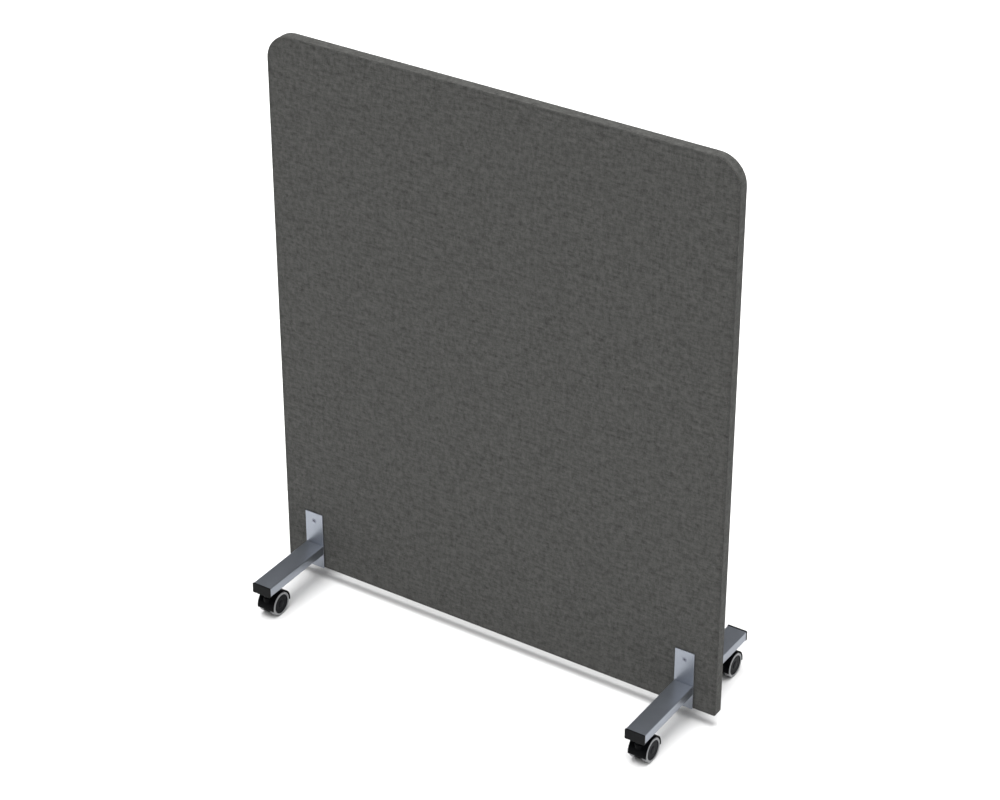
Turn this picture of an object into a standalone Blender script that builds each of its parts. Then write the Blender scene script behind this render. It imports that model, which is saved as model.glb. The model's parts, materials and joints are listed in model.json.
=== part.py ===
"""A mobile partition wall: an upholstered acoustic panel on two bolted feet with four twin-wheel castors.

Metres, +Z up. The origin is on the floor under the middle of the panel. +X runs along the panel,
-Y is the front, and the back is the same as the front.
"""

from math import cos, pi, radians, sin

import bmesh
import bpy

# Panel. Each side is a layer of fabric and a layer of felt over a wooden frame with a core in it.
PANEL_WIDTH = 1.200
PANEL_HEIGHT = 1.400
PANEL_THICKNESS = 0.030
CORNER_RADIUS = 0.065
FLOOR_GAP = 0.035
FABRIC_THICKNESS = 0.001
FELT_THICKNESS = 0.002
TOP_RAIL_HEIGHT = 0.080
BOTTOM_RAIL_HEIGHT = 0.170
STILE_WIDTH = 0.050

# Feet. Each half foot is a tube welded to a plate, and the two halves are bolted through the panel.
FOOT_X = 0.518
FOOT_REACH = 0.2365
PLATE_WIDTH = 0.050
PLATE_HEIGHT = 0.154
PLATE_THICKNESS = 0.003
PLATE_CORNER = 0.0008
TUBE_WIDTH = 0.050
TUBE_HEIGHT = 0.025
TUBE_WALL = 0.002
TUBE_CORNER = 0.0025
TUBE_BOTTOM = 0.075
CAP_FLANGE = 0.0042
CAP_PLUG_LENGTH = 0.012
CAP_PLUG_WALL = 0.002

# Foot bolts and their sleeve nuts, with the same countersunk head at both ends.
BOLT_HEIGHTS = {"lower": 0.055, "upper": 0.166}
BOLT_RADIUS = 0.003
BOLT_THREAD_OVERLAP = 0.010
SLEEVE_FLOOR_CLEARANCE = 0.0012
HEAD_RADIUS = 0.006
HEAD_CONE_DEPTH = 0.0015
SLEEVE_RADIUS = 0.0045
SOCKET_RADIUS = 0.0029
SOCKET_DEPTH = 0.0025

# Castors. The stem's axis stands outside the axle by the trail.
STEM_Y = 0.2115
CASTOR_TRAIL = 0.022
WHEEL_RADIUS = 0.030
TYRE_THICKNESS = 0.0055
WHEEL_INNER_FACE = 0.0085
WHEEL_OUTER_FACE = 0.0235
AXLE_RADIUS = 0.003
AXLE_END_INSET = 0.002
AXLE_CHAMFER = 0.0005
HUB_FACE_INSET = 0.0016
HUB_CAP_INSET = 0.0006
HUB_CAP_RADIUS = 0.0100
HUB_CAP_BEVEL = 0.0015
HUB_LIP_WIDTH = 0.0018
HUB_LIP_SLOPE = 0.0012
HUB_SKIN = 0.0012
HUB_BOSS_RADIUS = 0.0080
HUB_BOSS_HEIGHT = 0.0010
HOOD_RADIUS = 0.0345
HOOD_INNER_RADIUS = 0.032
HOOD_REACH_ANGLE = radians(9)
WEB_REACH_ANGLE = radians(17)
WEB_HALF_WIDTH = 0.0075
BELLY_DEPTH = 0.005
NECK_RADIUS = 0.009
NECK_TOP = 0.0660
NECK_BOTTOM = 0.043
PIN_RADIUS = 0.004
PIN_BOTTOM = 0.042
COLLAR_RADIUS = 0.0081
THREAD_RADIUS = 0.005
THREAD_TOP = 0.093
STEM_CHAMFER = 0.001
TYRE_SHOULDER = 0.002

# Clearances
GAP = 0.0003
RUNNING_GAP = 0.0005
WELD_DISTANCE = 1e-5
EMPTY_SIZE = 0.03

ARC_STEPS = 10
SMALL_ARC_STEPS = 2
HOOD_ARC_STEPS = 16
BELLY_STEPS = 6
TYRE_SEGMENTS = 32
HUB_SEGMENTS = 24
NECK_SEGMENTS = 16
BOLT_SEGMENTS = 12
SMOOTH_ANGLE = radians(35)

# Heights and depths that follow from those
PANEL_BOTTOM = FLOOR_GAP
PANEL_TOP = FLOOR_GAP + PANEL_HEIGHT
HALF_WIDTH = PANEL_WIDTH / 2
HALF_THICKNESS = PANEL_THICKNESS / 2
EDGE_INSET = FABRIC_THICKNESS + GAP
FELT_FACE = HALF_THICKNESS - FABRIC_THICKNESS - GAP
FRAME_FACE = FELT_FACE - FELT_THICKNESS - GAP
PLATE_INNER = HALF_THICKNESS + GAP
PLATE_OUTER = PLATE_INNER + PLATE_THICKNESS
TUBE_INNER_END = PLATE_OUTER + GAP
TUBE_OUTER_END = FOOT_REACH - CAP_FLANGE - GAP

# Finish of each material: linear colour, roughness, metallic
FINISHES = {
    "grey_fabric": ((0.091, 0.091, 0.087), 0.95, 0.0),
    "felt_padding": ((0.42, 0.41, 0.39), 0.95, 0.0),
    "frame_wood": ((0.55, 0.38, 0.20), 0.65, 0.0),
    "acoustic_core": ((0.55, 0.53, 0.35), 0.90, 0.0),
    "silver_coat": ((0.42, 0.46, 0.51), 0.38, 0.6),
    "black_plastic": ((0.020, 0.021, 0.022), 0.45, 0.0),
    "grey_tyre": ((0.36, 0.37, 0.38), 0.60, 0.0),
    "zinc_steel": ((0.55, 0.56, 0.58), 0.30, 1.0),
}


def clear_scene():
    for old in list(bpy.data.objects):
        bpy.data.objects.remove(old)


def new_collection(name):
    collection = bpy.data.collections.new(name)
    bpy.context.scene.collection.children.link(collection)
    return collection


def new_material(name):
    colour, roughness, metallic = FINISHES[name]
    material = bpy.data.materials.new(name)
    material.use_nodes = True
    shader = material.node_tree.nodes["Principled BSDF"]
    shader.inputs["Base Color"].default_value = (*colour, 1.0)
    shader.inputs["Roughness"].default_value = roughness
    shader.inputs["Metallic"].default_value = metallic
    return material


clear_scene()
PARTS = new_collection("partition_wall")
CUTTERS = new_collection("cutters")
MATERIALS = {name: new_material(name) for name in FINISHES}


# ---------------------------------------------------------------- shapes


def arc(centre, radius, start, end, steps):
    """Points from one angle to another, both included."""
    angles = [start + (end - start) * step / steps for step in range(steps + 1)]
    return [(centre[0] + radius * cos(a), centre[1] + radius * sin(a)) for a in angles]


def arched_path(inset, bottom):
    """Up the panel's right side, over its rounded top and down its left side, set in from its outline."""
    radius = CORNER_RADIUS - inset
    across = HALF_WIDTH - CORNER_RADIUS
    height = PANEL_TOP - CORNER_RADIUS
    right = arc((across, height), radius, 0, pi / 2, ARC_STEPS)
    left = arc((-across, height), radius, pi / 2, pi, ARC_STEPS)
    side = HALF_WIDTH - inset
    return [(side, bottom), *right, *left, (-side, bottom)]


def rounded_rectangle(width, height, radius):
    """A rectangle around the origin, with an arc at each corner."""
    across = width / 2 - radius
    up = height / 2 - radius
    corners = [(across, up), (-across, up), (-across, -up), (across, -up)]
    points = []
    for quarter, corner in enumerate(corners):
        start = quarter * pi / 2
        points += arc(corner, radius, start, start + pi / 2, SMALL_ARC_STEPS)
    return points


def rectangle(left, right, bottom, top):
    return [(left, bottom), (right, bottom), (right, top), (left, top)]


def extruded_mesh(name, loops, depth):
    """The area of the outer loop less the inner ones, extruded evenly to both sides of its own plane."""
    curve = bpy.data.curves.new(name, "CURVE")
    curve.dimensions = "2D"
    curve.fill_mode = "BOTH"
    curve.extrude = depth / 2
    for loop in loops:
        spline = curve.splines.new("POLY")
        spline.points.add(len(loop) - 1)
        for point, (across, up) in zip(spline.points, loop):
            point.co = (across, up, 0, 1)
        spline.use_cyclic_u = True
    outline = bpy.data.objects.new(name + "_outline", curve)
    CUTTERS.objects.link(outline)
    graph = bpy.context.evaluated_depsgraph_get()
    mesh = bpy.data.meshes.new_from_object(outline.evaluated_get(graph))
    mesh.name = name
    bpy.data.objects.remove(outline)
    shape = bmesh.new()
    shape.from_mesh(mesh)
    bmesh.ops.remove_doubles(shape, verts=shape.verts, dist=WELD_DISTANCE)
    bmesh.ops.recalc_face_normals(shape, faces=shape.faces)
    shape.to_mesh(mesh)
    shape.free()
    return mesh


def round_mesh(name, radius, length, segments):
    """A cylinder or prism along Z, around the origin."""
    shape = bmesh.new()
    bmesh.ops.create_cone(
        shape, cap_ends=True, segments=segments, radius1=radius, radius2=radius, depth=length
    )
    mesh = bpy.data.meshes.new(name)
    shape.to_mesh(mesh)
    shape.free()
    return mesh


def turned(name, profile, segments, closed=False):
    """A profile of (radius, height) points turned about Z. It runs down the outer side."""
    edges = [(i, i + 1) for i in range(len(profile) - 1)]
    if closed:
        edges.append((len(profile) - 1, 0))
    mesh = bpy.data.meshes.new(name)
    mesh.from_pydata([(radius, 0, height) for radius, height in profile], edges, [])
    piece = bpy.data.objects.new(name, mesh)
    CUTTERS.objects.link(piece)
    screw = piece.modifiers.new("Turn", "SCREW")
    screw.axis = "Z"
    screw.steps = segments
    screw.render_steps = segments
    screw.use_merge_vertices = True
    screw.merge_threshold = WELD_DISTANCE
    return piece


# ---------------------------------------------------------------- objects


def placed(name, mesh, material, parent, location=(0, 0, 0), rotation=(0, 0, 0)):
    """A named part of the object."""
    if not mesh.materials:
        mesh.materials.append(MATERIALS[material])
    piece = bpy.data.objects.new(name, mesh)
    PARTS.objects.link(piece)
    piece.parent = parent
    piece.location = location
    piece.rotation_euler = rotation
    return piece


def empty(name, parent=None, location=(0, 0, 0), turn=0.0):
    point = bpy.data.objects.new(name, None)
    PARTS.objects.link(point)
    point.empty_display_size = EMPTY_SIZE
    point.parent = parent
    point.location = location
    point.rotation_euler = (0, 0, turn)
    return point


def cutter(name, mesh, location=(0, 0, 0), rotation=(0, 0, 0)):
    """A helper solid for a Boolean, which is no part of the object."""
    helper = bpy.data.objects.new(name, mesh)
    CUTTERS.objects.link(helper)
    helper.location = location
    helper.rotation_euler = rotation
    helper.hide_render = True
    helper.display_type = "WIRE"
    return helper


def add_boolean(piece, other, operation="DIFFERENCE"):
    boolean = piece.modifiers.new(other.name, "BOOLEAN")
    boolean.operation = operation
    boolean.solver = "EXACT"
    boolean.object = other


def finished_mesh(piece, helpers=()):
    """The mesh with its modifiers applied and its round faces smooth, for copies to share."""
    bpy.context.view_layer.update()
    graph = bpy.context.evaluated_depsgraph_get()
    mesh = bpy.data.meshes.new_from_object(piece.evaluated_get(graph))
    mesh.name = piece.name
    mesh.transform(piece.matrix_world)
    for used in (piece, *helpers):
        bpy.data.objects.remove(used)
    mesh.shade_smooth()
    mesh.set_sharp_from_angle(angle=SMOOTH_ANGLE)
    return mesh


FACING_FRONT = (pi / 2, 0, 0)  # an outline drawn in X and Y stands up, in X and Z
FACING_SIDE = (pi / 2, 0, pi / 2)  # an outline drawn in X and Y stands up, in Y and Z
ALONG_X = (0, pi / 2, 0)  # a shape along Z lies along X
ALONG_Y = (-pi / 2, 0, 0)  # a shape along Z lies along Y


# ---------------------------------------------------------------- panel


def bolt_hole_cutters():
    """One rod for each foot bolt, right through the panel."""
    hole = round_mesh("bolt_hole", SLEEVE_RADIUS + 2 * GAP, 2 * PANEL_THICKNESS, BOLT_SEGMENTS)
    return [
        cutter(f"bolt_hole_{side}_{level}", hole, (x, 0, z), ALONG_Y)
        for side, x in (("left", -FOOT_X), ("right", FOOT_X))
        for level, z in BOLT_HEIGHTS.items()
    ]


def panel_layer(name, loop, near, far, material, parent, holes=()):
    """A flat piece of the panel between two depths. Its outline is in X and Z."""
    mesh = extruded_mesh(name, [loop], far - near)
    piece = placed(name, mesh, material, parent, (0, (near + far) / 2, 0), FACING_FRONT)
    for hole in holes:
        add_boolean(piece, hole)
    return piece


def build_panel(parent):
    holes = bolt_hole_cutters()
    face = arched_path(0, PANEL_BOTTOM)
    inside = arched_path(EDGE_INSET, PANEL_BOTTOM + EDGE_INSET)
    for side, name in ((-1, "front"), (1, "rear")):
        depths = sorted((side * HALF_THICKNESS, side * (HALF_THICKNESS - FABRIC_THICKNESS)))
        panel_layer(f"{name}_fabric", face, *depths, "grey_fabric", parent, holes)
        depths = sorted((side * FELT_FACE, side * (FELT_FACE - FELT_THICKNESS)))
        panel_layer(f"{name}_felt", inside, *depths, "felt_padding", parent, holes)

    outer_edge = arched_path(0, PANEL_BOTTOM)
    inner_edge = arched_path(FABRIC_THICKNESS, PANEL_BOTTOM)
    band = outer_edge + inner_edge[::-1]
    panel_layer("edge_band", band, -FELT_FACE, FELT_FACE, "grey_fabric", parent)
    half_strip = HALF_WIDTH - EDGE_INSET
    strip = rectangle(-half_strip, half_strip, PANEL_BOTTOM, PANEL_BOTTOM + FABRIC_THICKNESS)
    panel_layer("bottom_strip", strip, -FELT_FACE, FELT_FACE, "grey_fabric", parent)

    side = HALF_WIDTH - EDGE_INSET
    frame_bottom = PANEL_BOTTOM + EDGE_INSET
    top_rail_bottom = PANEL_TOP - EDGE_INSET - TOP_RAIL_HEIGHT
    bottom_rail_top = frame_bottom + BOTTOM_RAIL_HEIGHT
    stile_inner = side - STILE_WIDTH
    fill = stile_inner - GAP
    frame = {
        "top_rail": arched_path(EDGE_INSET, top_rail_bottom),
        "left_stile": rectangle(-side, -stile_inner, frame_bottom, top_rail_bottom - GAP),
        "right_stile": rectangle(stile_inner, side, frame_bottom, top_rail_bottom - GAP),
        "bottom_rail": rectangle(-fill, fill, frame_bottom, bottom_rail_top),
    }
    for name, loop in frame.items():
        drilled = holes if name == "bottom_rail" else ()
        panel_layer(name, loop, -FRAME_FACE, FRAME_FACE, "frame_wood", parent, drilled)
    core = rectangle(-fill, fill, bottom_rail_top + GAP, top_rail_bottom - GAP)
    panel_layer("acoustic_core", core, -FRAME_FACE, FRAME_FACE, "acoustic_core", parent)


# ---------------------------------------------------------------- feet
# A half foot is drawn in its own frame, reaching out along -Y from the panel's middle plane.


def plate_mesh():
    """An upright plate with two countersunk holes."""
    height = PANEL_BOTTOM + PLATE_HEIGHT / 2
    middle = -(PLATE_INNER + PLATE_OUTER) / 2
    outline = rounded_rectangle(PLATE_WIDTH, PLATE_HEIGHT, PLATE_CORNER)
    plate = cutter("plate", extruded_mesh("plate", [outline], PLATE_THICKNESS), (0, middle, height))
    plate.rotation_euler = FACING_FRONT
    wide = HEAD_RADIUS + GAP
    narrow = SLEEVE_RADIUS + GAP
    below = -PLATE_THICKNESS - GAP
    profile = [(0, GAP), (wide, GAP), (wide, 0), (narrow, -HEAD_CONE_DEPTH), (narrow, below), (0, below)]
    sinks = []
    for level, z in BOLT_HEIGHTS.items():
        sink = turned(f"countersink_{level}", profile, BOLT_SEGMENTS)
        sink.location = (0, -PLATE_OUTER, z)
        sink.rotation_euler = (pi / 2, 0, 0)
        add_boolean(plate, sink)
        sinks.append(sink)
    return finished_mesh(plate, sinks)


def tube_mesh():
    """A rectangular tube with a hole in its underside for the castor's stem."""
    length = TUBE_OUTER_END - TUBE_INNER_END
    middle = -(TUBE_OUTER_END + TUBE_INNER_END) / 2
    outer = rounded_rectangle(TUBE_WIDTH, TUBE_HEIGHT, TUBE_CORNER)
    bore_width = TUBE_WIDTH - 2 * TUBE_WALL
    bore_height = TUBE_HEIGHT - 2 * TUBE_WALL
    inner = rounded_rectangle(bore_width, bore_height, TUBE_CORNER / 2)
    mesh = extruded_mesh("tube", [outer, inner], length)
    height = TUBE_BOTTOM + TUBE_HEIGHT / 2
    tube = cutter("tube", mesh, (0, middle, height), FACING_FRONT)
    drill = round_mesh("stem_hole", THREAD_RADIUS + 2 * GAP, 3 * TUBE_WALL, BOLT_SEGMENTS)
    hole = cutter("stem_hole", drill, (0, -STEM_Y, TUBE_BOTTOM))
    add_boolean(tube, hole)
    return finished_mesh(tube, [hole])


def cap_mesh():
    """A flange that covers the tube's end, with a hollow plug inside the tube."""
    height = TUBE_BOTTOM + TUBE_HEIGHT / 2
    outline = rounded_rectangle(TUBE_WIDTH, TUBE_HEIGHT, TUBE_CORNER)
    middle = -(FOOT_REACH - CAP_FLANGE / 2)
    flange_mesh = extruded_mesh("cap", [outline], CAP_FLANGE)
    flange = cutter("cap", flange_mesh, (0, middle, height), FACING_FRONT)
    plug_width = TUBE_WIDTH - 2 * TUBE_WALL - 2 * GAP
    plug_height = TUBE_HEIGHT - 2 * TUBE_WALL - 2 * GAP
    wall = rounded_rectangle(plug_width, plug_height, TUBE_CORNER / 2)
    pocket = rounded_rectangle(
        plug_width - 2 * CAP_PLUG_WALL, plug_height - 2 * CAP_PLUG_WALL, TUBE_CORNER / 4
    )
    sunk = CAP_FLANGE / 2
    plug_middle = -(FOOT_REACH - CAP_FLANGE + sunk / 2 - CAP_PLUG_LENGTH / 2)
    plug_mesh = extruded_mesh("plug", [wall, pocket], CAP_PLUG_LENGTH + sunk)
    plug = cutter("plug", plug_mesh, (0, plug_middle, height), FACING_FRONT)
    add_boolean(flange, plug, "UNION")
    return finished_mesh(flange, [plug])


# ---------------------------------------------------------------- fasteners
# A fastener is drawn along Z with its head's face at the plate's outer face, pointing down.


def head_profile():
    """The countersunk head, from its face down to its underside."""
    underside = -PLATE_THICKNESS
    return [(0, 0), (HEAD_RADIUS, 0), (SLEEVE_RADIUS, -HEAD_CONE_DEPTH), (SLEEVE_RADIUS, underside)]


def with_socket(piece):
    """The mesh with a hexagonal socket in its head."""
    key = round_mesh("socket", SOCKET_RADIUS, 2 * SOCKET_DEPTH, 6)
    socket = cutter("socket", key)
    add_boolean(piece, socket)
    return finished_mesh(piece, [socket])


def bolt_mesh():
    end = -(PLATE_OUTER + BOLT_THREAD_OVERLAP)
    shank = [(BOLT_RADIUS, -PLATE_THICKNESS), (BOLT_RADIUS, end), (0, end)]
    return with_socket(turned("bolt", head_profile() + shank, BOLT_SEGMENTS))


def sleeve_nut_mesh():
    """A sleeve whose bore takes the bolt's end, a little past the middle of the panel."""
    mouth = -(PLATE_OUTER + BOLT_THREAD_OVERLAP / 2)
    floor = -(PLATE_OUTER - BOLT_THREAD_OVERLAP - SLEEVE_FLOOR_CLEARANCE)
    bore = BOLT_RADIUS + GAP
    sleeve = [(SLEEVE_RADIUS, mouth), (bore, mouth), (bore, floor), (0, floor)]
    return with_socket(turned("sleeve_nut", head_profile()[:3] + sleeve, BOLT_SEGMENTS))


# ---------------------------------------------------------------- castors
# A castor is drawn with its stem on the Z axis and its axle along X, at the trail along +Y.

AXLE_AT = (0, CASTOR_TRAIL, WHEEL_RADIUS)


def housing_mesh():
    """A hood over both wheels, the web between them, and a neck that the stem's pin stands in."""
    over_front = pi + WEB_REACH_ANGLE
    over_rear = -WEB_REACH_ANGLE
    hood = arc((0, 0), HOOD_RADIUS, over_front, over_rear, HOOD_ARC_STEPS)
    rear_end = hood[-1]
    belly_angles = [-pi * step / BELLY_STEPS for step in range(1, BELLY_STEPS)]
    belly = [(rear_end[0] * cos(a), rear_end[1] + BELLY_DEPTH * sin(a)) for a in belly_angles]
    block = extruded_mesh("housing", [hood + belly], 2 * WHEEL_OUTER_FACE)
    body = cutter("housing", block, AXLE_AT, FACING_SIDE)

    neck = round_mesh("neck", NECK_RADIUS, NECK_TOP - NECK_BOTTOM, NECK_SEGMENTS)
    helpers = [cutter("neck", neck, (0, 0, (NECK_TOP + NECK_BOTTOM) / 2))]
    add_boolean(body, helpers[0], "UNION")

    over_wheel = arc(
        (0, 0), HOOD_INNER_RADIUS, pi + HOOD_REACH_ANGLE, -HOOD_REACH_ANGLE, HOOD_ARC_STEPS
    )
    hem = over_wheel[-1][1]
    clear = 2 * HOOD_RADIUS
    bay_loop = over_wheel + [(clear, hem), (clear, -clear), (-clear, -clear), (-clear, hem)]
    bay_width = 2 * (WHEEL_OUTER_FACE - WEB_HALF_WIDTH)
    bay = extruded_mesh("wheel_bay", [bay_loop], bay_width)
    for side in (-1, 1):
        at = (side * (WEB_HALF_WIDTH + bay_width / 2), CASTOR_TRAIL, WHEEL_RADIUS)
        helpers.append(cutter(f"wheel_bay_{side}", bay, at, FACING_SIDE))

    pin_length = NECK_TOP - PIN_BOTTOM + 2 * GAP
    pin_hole = round_mesh("pin_hole", PIN_RADIUS + 2 * GAP, pin_length, BOLT_SEGMENTS)
    helpers.append(cutter("pin_hole", pin_hole, (0, 0, (NECK_TOP + PIN_BOTTOM) / 2)))
    axle_hole = round_mesh("axle_hole", AXLE_RADIUS + GAP, 4 * WEB_HALF_WIDTH, BOLT_SEGMENTS)
    helpers.append(cutter("axle_hole", axle_hole, AXLE_AT, ALONG_X))
    for helper in helpers[1:]:
        add_boolean(body, helper)
    return finished_mesh(body, helpers)


def stem_mesh():
    """A swivel pin, a hexagonal collar under the tube and a thread inside it."""
    collar_bottom = NECK_TOP + RUNNING_GAP
    collar_top = TUBE_BOTTOM - GAP
    profile = [
        (0, THREAD_TOP),
        (THREAD_RADIUS - STEM_CHAMFER, THREAD_TOP),
        (THREAD_RADIUS, THREAD_TOP - STEM_CHAMFER),
        (THREAD_RADIUS, collar_bottom + GAP),
        (PIN_RADIUS, collar_bottom + GAP),
        (PIN_RADIUS, PIN_BOTTOM + STEM_CHAMFER),
        (PIN_RADIUS - STEM_CHAMFER, PIN_BOTTOM),
        (0, PIN_BOTTOM),
    ]
    stem = turned("stem", profile, BOLT_SEGMENTS)
    hexagon = round_mesh("collar", COLLAR_RADIUS, collar_top - collar_bottom, 6)
    collar = cutter("collar", hexagon, (0, 0, (collar_top + collar_bottom) / 2))
    add_boolean(stem, collar, "UNION")
    return finished_mesh(stem, [collar])


def axle_mesh():
    """A plain pin through the web, which both wheels turn on."""
    half = WHEEL_OUTER_FACE - AXLE_END_INSET
    end = AXLE_RADIUS - AXLE_CHAMFER
    profile = [(0, half), (end, half), (AXLE_RADIUS, half - AXLE_CHAMFER)]
    profile += [(radius, -height) for radius, height in reversed(profile)]
    return finished_mesh(turned("axle", profile, BOLT_SEGMENTS))


def hub_mesh():
    """A wheel disc along Z with a raised cap, a lip and a blind bore. Z = 0 is the castor's middle."""
    rim = WHEEL_RADIUS - TYRE_THICKNESS - GAP
    bore = AXLE_RADIUS + RUNNING_GAP
    cap_face = WHEEL_OUTER_FACE - HUB_CAP_INSET
    face = WHEEL_OUTER_FACE - HUB_FACE_INSET
    inner = WHEEL_INNER_FACE + HUB_BOSS_HEIGHT
    profile = [
        (0, cap_face),
        (HUB_CAP_RADIUS - HUB_CAP_BEVEL, cap_face),
        (HUB_CAP_RADIUS, face),
        (rim - HUB_LIP_WIDTH - HUB_LIP_SLOPE, face),
        (rim - HUB_LIP_WIDTH, cap_face),
        (rim, cap_face),
        (rim, inner),
        (HUB_BOSS_RADIUS, inner),
        (HUB_BOSS_RADIUS, WHEEL_INNER_FACE),
        (bore, WHEEL_INNER_FACE),
        (bore, cap_face - HUB_SKIN),
        (0, cap_face - HUB_SKIN),
    ]
    return finished_mesh(turned("hub", profile, HUB_SEGMENTS))


def tyre_mesh():
    """A soft ring with rounded shoulders, in the same frame as its hub."""
    inner_radius = WHEEL_RADIUS - TYRE_THICKNESS
    side_radius = WHEEL_RADIUS - TYRE_SHOULDER
    outer = WHEEL_OUTER_FACE
    inner = WHEEL_INNER_FACE
    side_slope = TYRE_SHOULDER / 4
    profile = [
        (inner_radius, outer - side_slope),
        (side_radius, outer),
        (WHEEL_RADIUS, outer - TYRE_SHOULDER),
        (WHEEL_RADIUS, inner + TYRE_SHOULDER),
        (side_radius, inner),
        (inner_radius, inner + side_slope),
    ]
    return finished_mesh(turned("tyre", profile, TYRE_SEGMENTS, closed=True))


# ---------------------------------------------------------------- assembly


def build_half_foot(name, meshes, parent, x, turn):
    """A plate, a tube, its cap and a castor. The rear halves are turned half round."""
    foot = empty(f"{name}_foot", parent, (x, 0, 0), turn)
    placed(f"{name}_foot_plate", meshes["plate"], "silver_coat", foot)
    placed(f"{name}_foot_tube", meshes["tube"], "silver_coat", foot)
    placed(f"{name}_tube_cap", meshes["cap"], "black_plastic", foot)
    placed(f"{name}_castor_stem", meshes["stem"], "zinc_steel", foot, (0, -STEM_Y, 0))

    swivel = empty(f"{name}_castor_swivel", foot, (0, -STEM_Y, 0))
    placed(f"{name}_castor_housing", meshes["housing"], "black_plastic", swivel)
    placed(f"{name}_castor_axle", meshes["axle"], "zinc_steel", swivel, AXLE_AT, ALONG_X)
    # the outer wheel is on the side of the nearer end of the panel
    outward = 1 if x * cos(turn) > 0 else -1
    for wheel, side in (("outer", outward), ("inner", -outward)):
        facing = (0, side * pi / 2, 0)
        placed(f"{name}_{wheel}_wheel_hub", meshes["hub"], "black_plastic", swivel, AXLE_AT, facing)
        placed(f"{name}_{wheel}_tyre", meshes["tyre"], "grey_tyre", swivel, AXLE_AT, facing)


def build_fasteners(parent):
    bolt = bolt_mesh()
    nut = sleeve_nut_mesh()
    for side, x in (("left", -FOOT_X), ("right", FOOT_X)):
        for level, z in BOLT_HEIGHTS.items():
            front = (x, -PLATE_OUTER, z)
            rear = (x, PLATE_OUTER, z)
            placed(f"{side}_{level}_bolt", bolt, "zinc_steel", parent, front, (pi / 2, 0, 0))
            placed(f"{side}_{level}_sleeve_nut", nut, "zinc_steel", parent, rear, (-pi / 2, 0, 0))


def build_wall():
    wall = empty("wall")
    build_panel(wall)
    meshes = {
        "plate": plate_mesh(),
        "tube": tube_mesh(),
        "cap": cap_mesh(),
        "stem": stem_mesh(),
        "housing": housing_mesh(),
        "axle": axle_mesh(),
        "hub": hub_mesh(),
        "tyre": tyre_mesh(),
    }
    for end, turn in (("front", 0), ("rear", pi)):
        for side, x in (("left", -FOOT_X), ("right", FOOT_X)):
            build_half_foot(f"{end}_{side}", meshes, wall, x, turn)
    build_fasteners(wall)


build_wall()
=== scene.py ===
"""The looks of the mobile partition wall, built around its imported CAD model.

Metres, in the CAD model's own frame: +X along the panel, -Y to the front, +Z up, the floor at Z = 0.
Places and main sizes are read from the CAD nodes. Only the finer detail has sizes of its own here.
"""

import json
from math import asin, cos, pi, radians, sin, tau

import bmesh
import bpy
import numpy as np
from mathutils import Matrix, Vector


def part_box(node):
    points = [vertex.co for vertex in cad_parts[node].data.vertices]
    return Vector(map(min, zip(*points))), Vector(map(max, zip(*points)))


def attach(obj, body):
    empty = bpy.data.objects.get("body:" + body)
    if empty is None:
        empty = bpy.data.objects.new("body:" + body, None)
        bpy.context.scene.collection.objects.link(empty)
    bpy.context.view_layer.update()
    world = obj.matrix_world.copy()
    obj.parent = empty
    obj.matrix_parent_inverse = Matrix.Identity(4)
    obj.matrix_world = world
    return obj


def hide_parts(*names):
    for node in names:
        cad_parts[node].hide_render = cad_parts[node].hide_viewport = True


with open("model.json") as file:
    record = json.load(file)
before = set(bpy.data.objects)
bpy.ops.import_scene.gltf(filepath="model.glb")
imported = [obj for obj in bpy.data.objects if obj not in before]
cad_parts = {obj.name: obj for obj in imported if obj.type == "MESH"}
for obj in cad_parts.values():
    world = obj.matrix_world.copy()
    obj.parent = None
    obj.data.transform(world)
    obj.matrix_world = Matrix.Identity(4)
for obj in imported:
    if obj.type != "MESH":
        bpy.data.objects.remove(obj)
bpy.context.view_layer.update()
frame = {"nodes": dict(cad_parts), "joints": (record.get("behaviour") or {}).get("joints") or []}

FEET = [f"{end}_{side}" for end in ("front", "rear") for side in ("left", "right")]
SMOOTH_ANGLE = radians(32)

# Cover. Two faces are sewn to a strip that runs round the edge, over a thin layer of felt.
CLOTH = 0.0008
ROLL = 0.0035
FOOT_CORNER = 0.0040
TOP_CORNER = 0.065
SEAM_ANGLE = radians(45)
SEAM_HALF_ANGLE = radians(1.2)
SEAM_LIP_ANGLE = radians(9)
SEAM_DEPTH = 0.0011
VALLEY_DEPTH = 0.00035
VALLEY_INSET = 0.0075
VALLEY_WIDTH = 0.0028
PRESS_DEPTH = 0.00030
PRESS_REACH = 0.0045
UNEVENNESS = 0.00010
ROLL_STEPS = 7
CORNER_STEPS = 20
FOOT_CORNER_STEPS = 6
WEAVE_PITCH = 0.0010
FINE_STEP = 0.0013
COARSE_STEP = 0.0085
STEP_GROWTH = 0.30

# Felt and core, inside the cover
FELT_INSET = 0.0032
FELT_EASE = 0.0006
FELT_STEP = 0.020
BOARD_EASE = 0.0020
BOARD_UNEVENNESS = 0.00035

# Feet
TUBE_WALL = 0.0020
TUBE_CORNER = 0.0025
TUBE_END_EASE = 0.0003
PLATE_CORNER = 0.0012
PLATE_EASE = 0.0003
CAP_FLANGE = 0.0042
CAP_LIP = 0.0008
CAP_EASE = 0.0011
CAP_JOINT_EASE = 0.0003
CAP_PLUG_WALL = 0.0020
CAP_PLUG_GAP = 0.0005
CAP_FINS = 3
WELD_LEG = 0.0020
WELD_SINK = 0.0003
WELD_RIPPLE = 0.0011
WELD_RIPPLE_SHARE = 0.10
WELD_POINTS = 420

# Fasteners
HEAD_RADIUS = 0.0060
HEAD_CONE = 0.0015
HEAD_EASE = 0.00025
SLEEVE_RADIUS = 0.0045
SHANK_RADIUS = 0.0030
SOCKET_RADIUS = 0.0029
SOCKET_DEPTH = 0.0018
SOCKET_EASE = 0.0003
THREAD_PITCH = 0.0010
THREAD_DEPTH = 0.0004

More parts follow.
